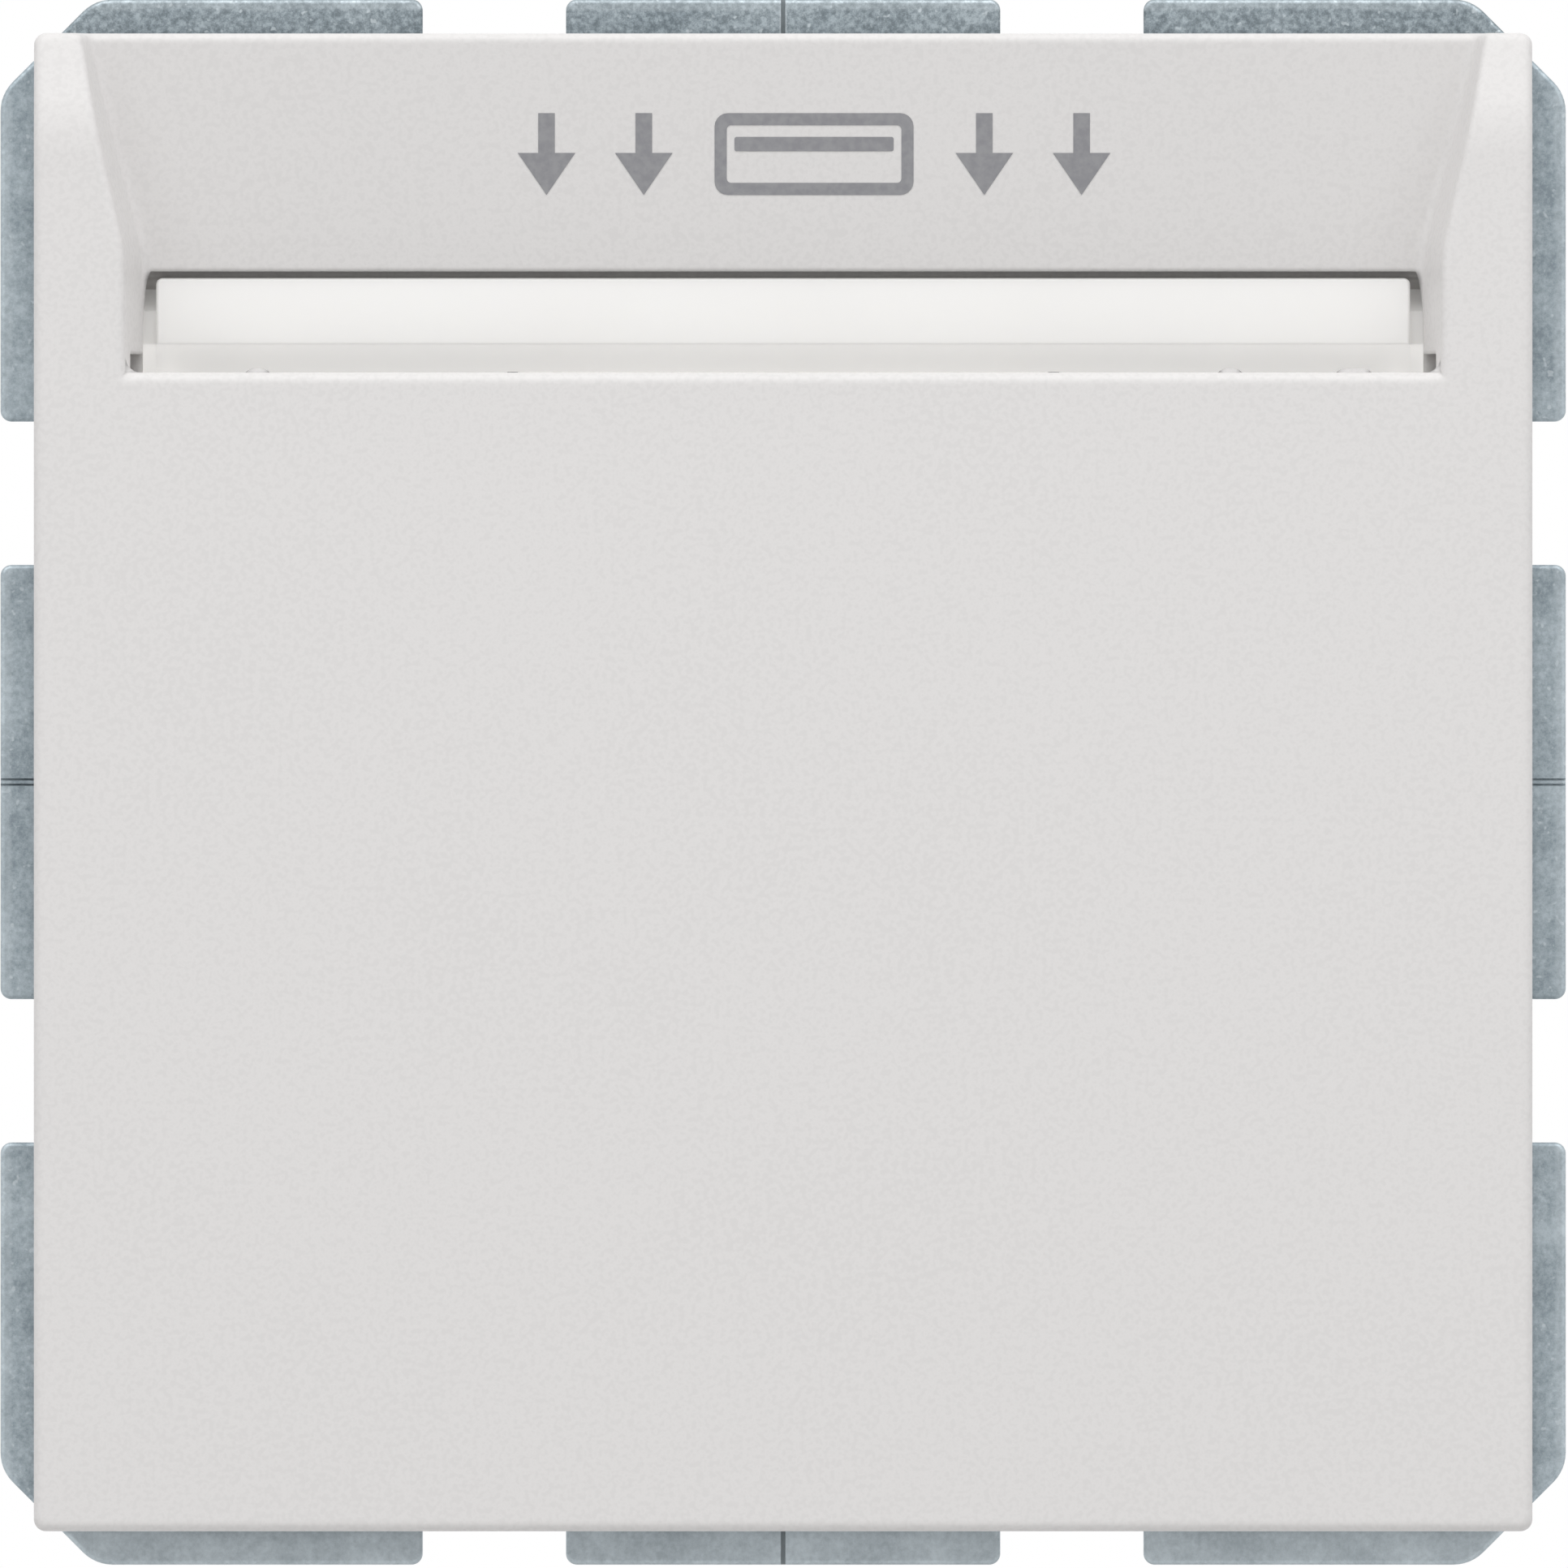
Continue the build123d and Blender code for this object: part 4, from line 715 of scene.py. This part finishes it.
# Raised marks on the housing's rear, all generic: collars round the wire entries, a strip gauge,
# arrows to the release buttons and a changeover contact
mark_rise = 0.12
mark_sink = 0.02
mark_line = 0.35
strip_half = 5.5
strip_gauge_z = -6.5
tick_height = 1.6
tick_stands_over = 1.1
collar_inner = 2.0
collar_outer = 2.25
button_arrow_foot = 11.2
button_arrow_half = 0.9
button_arrow_length = 1.5
contact_outer = 0.6
contact_inner = 0.3
contact_middles = ((-4.0, 2.4), (4.0, 4.4), (4.0, 0.4))
contact_lines = (
    ((-3.4, 2.5), (3.2, 3.9)),
    ((-7.0, 2.4), (-4.6, 2.4)),
    ((4.6, 4.4), (7.0, 4.4)),
    ((4.6, 0.4), (7.0, 0.4)),
)


def on_rear(u, v, w):
    """The housing's rear face, seen from behind: u runs to -X, v up and w out of the face."""
    return np.stack([-u, housing_depth + w - mark_sink, v], axis=1)


def ring_outline(centre_u, centre_v, radius, steps=24):
    """A circle's outline about a centre."""
    angle = np.linspace(0, 2 * math.pi, steps, endpoint=False)
    return np.stack([centre_u + radius * np.cos(angle), centre_v + radius * np.sin(angle)], axis=1)


def line_outline(start, end, width):
    """A straight bar's outline: the line's two ends moved sideways by half its width."""
    start, end = np.asarray(start, float), np.asarray(end, float)
    along = (end - start) / np.linalg.norm(end - start)
    across = np.array([-along[1], along[0]]) * width / 2
    return np.stack([start - across, end - across, end + across, start + across])


def rear_ring(centre, outer, inner):
    """A raised ring on the housing's rear, about a centre."""
    return frame_prism(ring_outline(*centre, outer), ring_outline(*centre, inner), on_rear, mark_height)


def rear_line(start, end, height):
    """A raised straight line on the housing's rear."""
    return prism(line_outline(start, end, mark_line), on_rear, height)


mark_height = mark_rise + mark_sink
marks = []
for sign_u in (-1, 1):
    for sign_v in (-1, 1):
        for hole in (-1, 1):
            centre = (sign_u * terminal_x + hole * wire_spacing / 2, sign_v * terminal_z)
            marks.append(rear_ring(centre, collar_outer, collar_inner))
marks.append(rear_line((-strip_half, strip_gauge_z), (strip_half, strip_gauge_z), mark_height))
for end in (-strip_half, strip_half):
    low, high = strip_gauge_z - tick_height / 2, strip_gauge_z + tick_height / 2
    marks.append(rear_line((end, low), (end, high), mark_height * tick_stands_over))
for sign_v in (-1, 1):
    foot = sign_v * button_arrow_foot
    tip = foot + sign_v * button_arrow_length
    head = np.array([(-button_arrow_half, foot), (button_arrow_half, foot), (0.0, tip)])
    marks.append(prism(head[::sign_v], on_rear, mark_height))
marks.extend(rear_ring(middle, contact_outer, contact_inner) for middle in contact_middles)
marks.extend(rear_line(*ends, mark_height) for ends in contact_lines)
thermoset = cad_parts["housing_base"].data.materials[0]
new_piece("rear_markings", *gathered(marks), thermoset, "base", "dark_plastic")


# Stage: a pale floor under the insert, and a white surround. The floor lies floor_below millimetres
# under the plate, and the other lengths are in metres
floor_below = 20.0
floor_half = 3.0
shadow_near, shadow_far = 0.06, 0.2
white_share_near = 0.75
white = (1.0, 1.0, 1.0, 1.0)
surround_level = 0.62


def pale_floor_paint():
    """Matt white studio floor: pale paint that keeps the shadow near the insert, and fades to the
    white of the surround further off, as the sweep of a studio backdrop does."""
    made, tree, place = new_material("matt_white_studio_floor")
    tone = spread(tree, grain(tree, place, 90.0, detail=1.0), 0.3, 0.7, ("#D8D8D8", "#DEDEDE"))
    painted = add(tree, "ShaderNodeBsdfDiffuse", {"Color": tone})
    lit_white = add(tree, "ShaderNodeEmission", {"Color": white, "Strength": 1.0})
    away = add(tree, "ShaderNodeVectorMath", {0: place}, operation="LENGTH").outputs["Value"]
    fade = between(tree, away, shadow_near, shadow_far, white_share_near, 1.0)
    share = math_of(tree, "MULTIPLY", shown_rays(tree), fade)
    inputs = {0: share, 1: painted.outputs[0], 2: lit_white.outputs[0]}
    mixed = add(tree, "ShaderNodeMixShader", inputs)
    add(tree, "ShaderNodeOutputMaterial", {"Surface": mixed.outputs[0]})
    return made


floor_z = -(plate_half + floor_below) * MM
corner_signs = ((-1, -1), (1, -1), (1, 1), (-1, 1))
corners = [(x * floor_half, y * floor_half, floor_z) for x, y in corner_signs]
floor_mesh = bpy.data.meshes.new("studio_floor")
floor_mesh.from_pydata(corners, [], [(0, 1, 2, 3)])
floor_mesh.materials.append(pale_floor_paint())
floor = bpy.data.objects.new("studio_floor", floor_mesh)
bpy.context.scene.collection.objects.link(floor)

world = bpy.data.worlds.new("soft_white_surround")
bpy.context.scene.world = world
world.use_nodes = True
sky = world.node_tree
sky.nodes.clear()
lit = add(sky, "ShaderNodeBackground", {"Color": white, "Strength": surround_level})
shown = add(sky, "ShaderNodeBackground", {"Color": white, "Strength": 1.0})
inputs = {0: shown_rays(sky), 1: lit.outputs[0], 2: shown.outputs[0]}
mixed = add(sky, "ShaderNodeMixShader", inputs)
add(sky, "ShaderNodeOutputWorld", {"Surface": mixed.outputs[0]})


def soft_lamp(name, place, size, power):
    """A rectangular softbox at place, turned to the middle of the insert."""
    light = bpy.data.lights.new(name, "AREA")
    light.shape = "RECTANGLE"
    light.size, light.size_y = size
    light.energy = power
    lamp = bpy.data.objects.new(name, light)
    lamp.location = place
    lamp.rotation_mode = "QUATERNION"
    lamp.rotation_quaternion = Vector(place).to_track_quat("Z", "Y")
    bpy.context.scene.collection.objects.link(lamp)


soft_lamp("softbox_above", place=(0.0, -0.3, 0.5), size=(1.0, 0.3), power=2.5)

# Camera square to the face and so far off that the view is almost parallel. It frames the support
# plate as the photograph does, whose middle is a hair off the plate's
camera_distance = 3.136
camera_aside, camera_drop = 0.00004, 0.00009
photo_side = 1932
photo_per_mm = 27.155
sensor = 36.0
view_half = photo_side / photo_per_mm / 2 * MM
camera_data = bpy.data.cameras.new("product_camera")
camera_data.sensor_width = sensor
camera_data.lens = sensor / 2 * camera_distance / view_half
camera_data.clip_start = 0.1
camera_data.clip_end = 20.0
camera = bpy.data.objects.new("product_camera", camera_data)
camera.location = (camera_aside, -camera_distance, -camera_drop)
camera.rotation_euler = (math.pi / 2, 0.0, 0.0)
bpy.context.scene.collection.objects.link(camera)
bpy.context.scene.camera = camera
bpy.context.scene.view_settings.view_transform = "Standard"
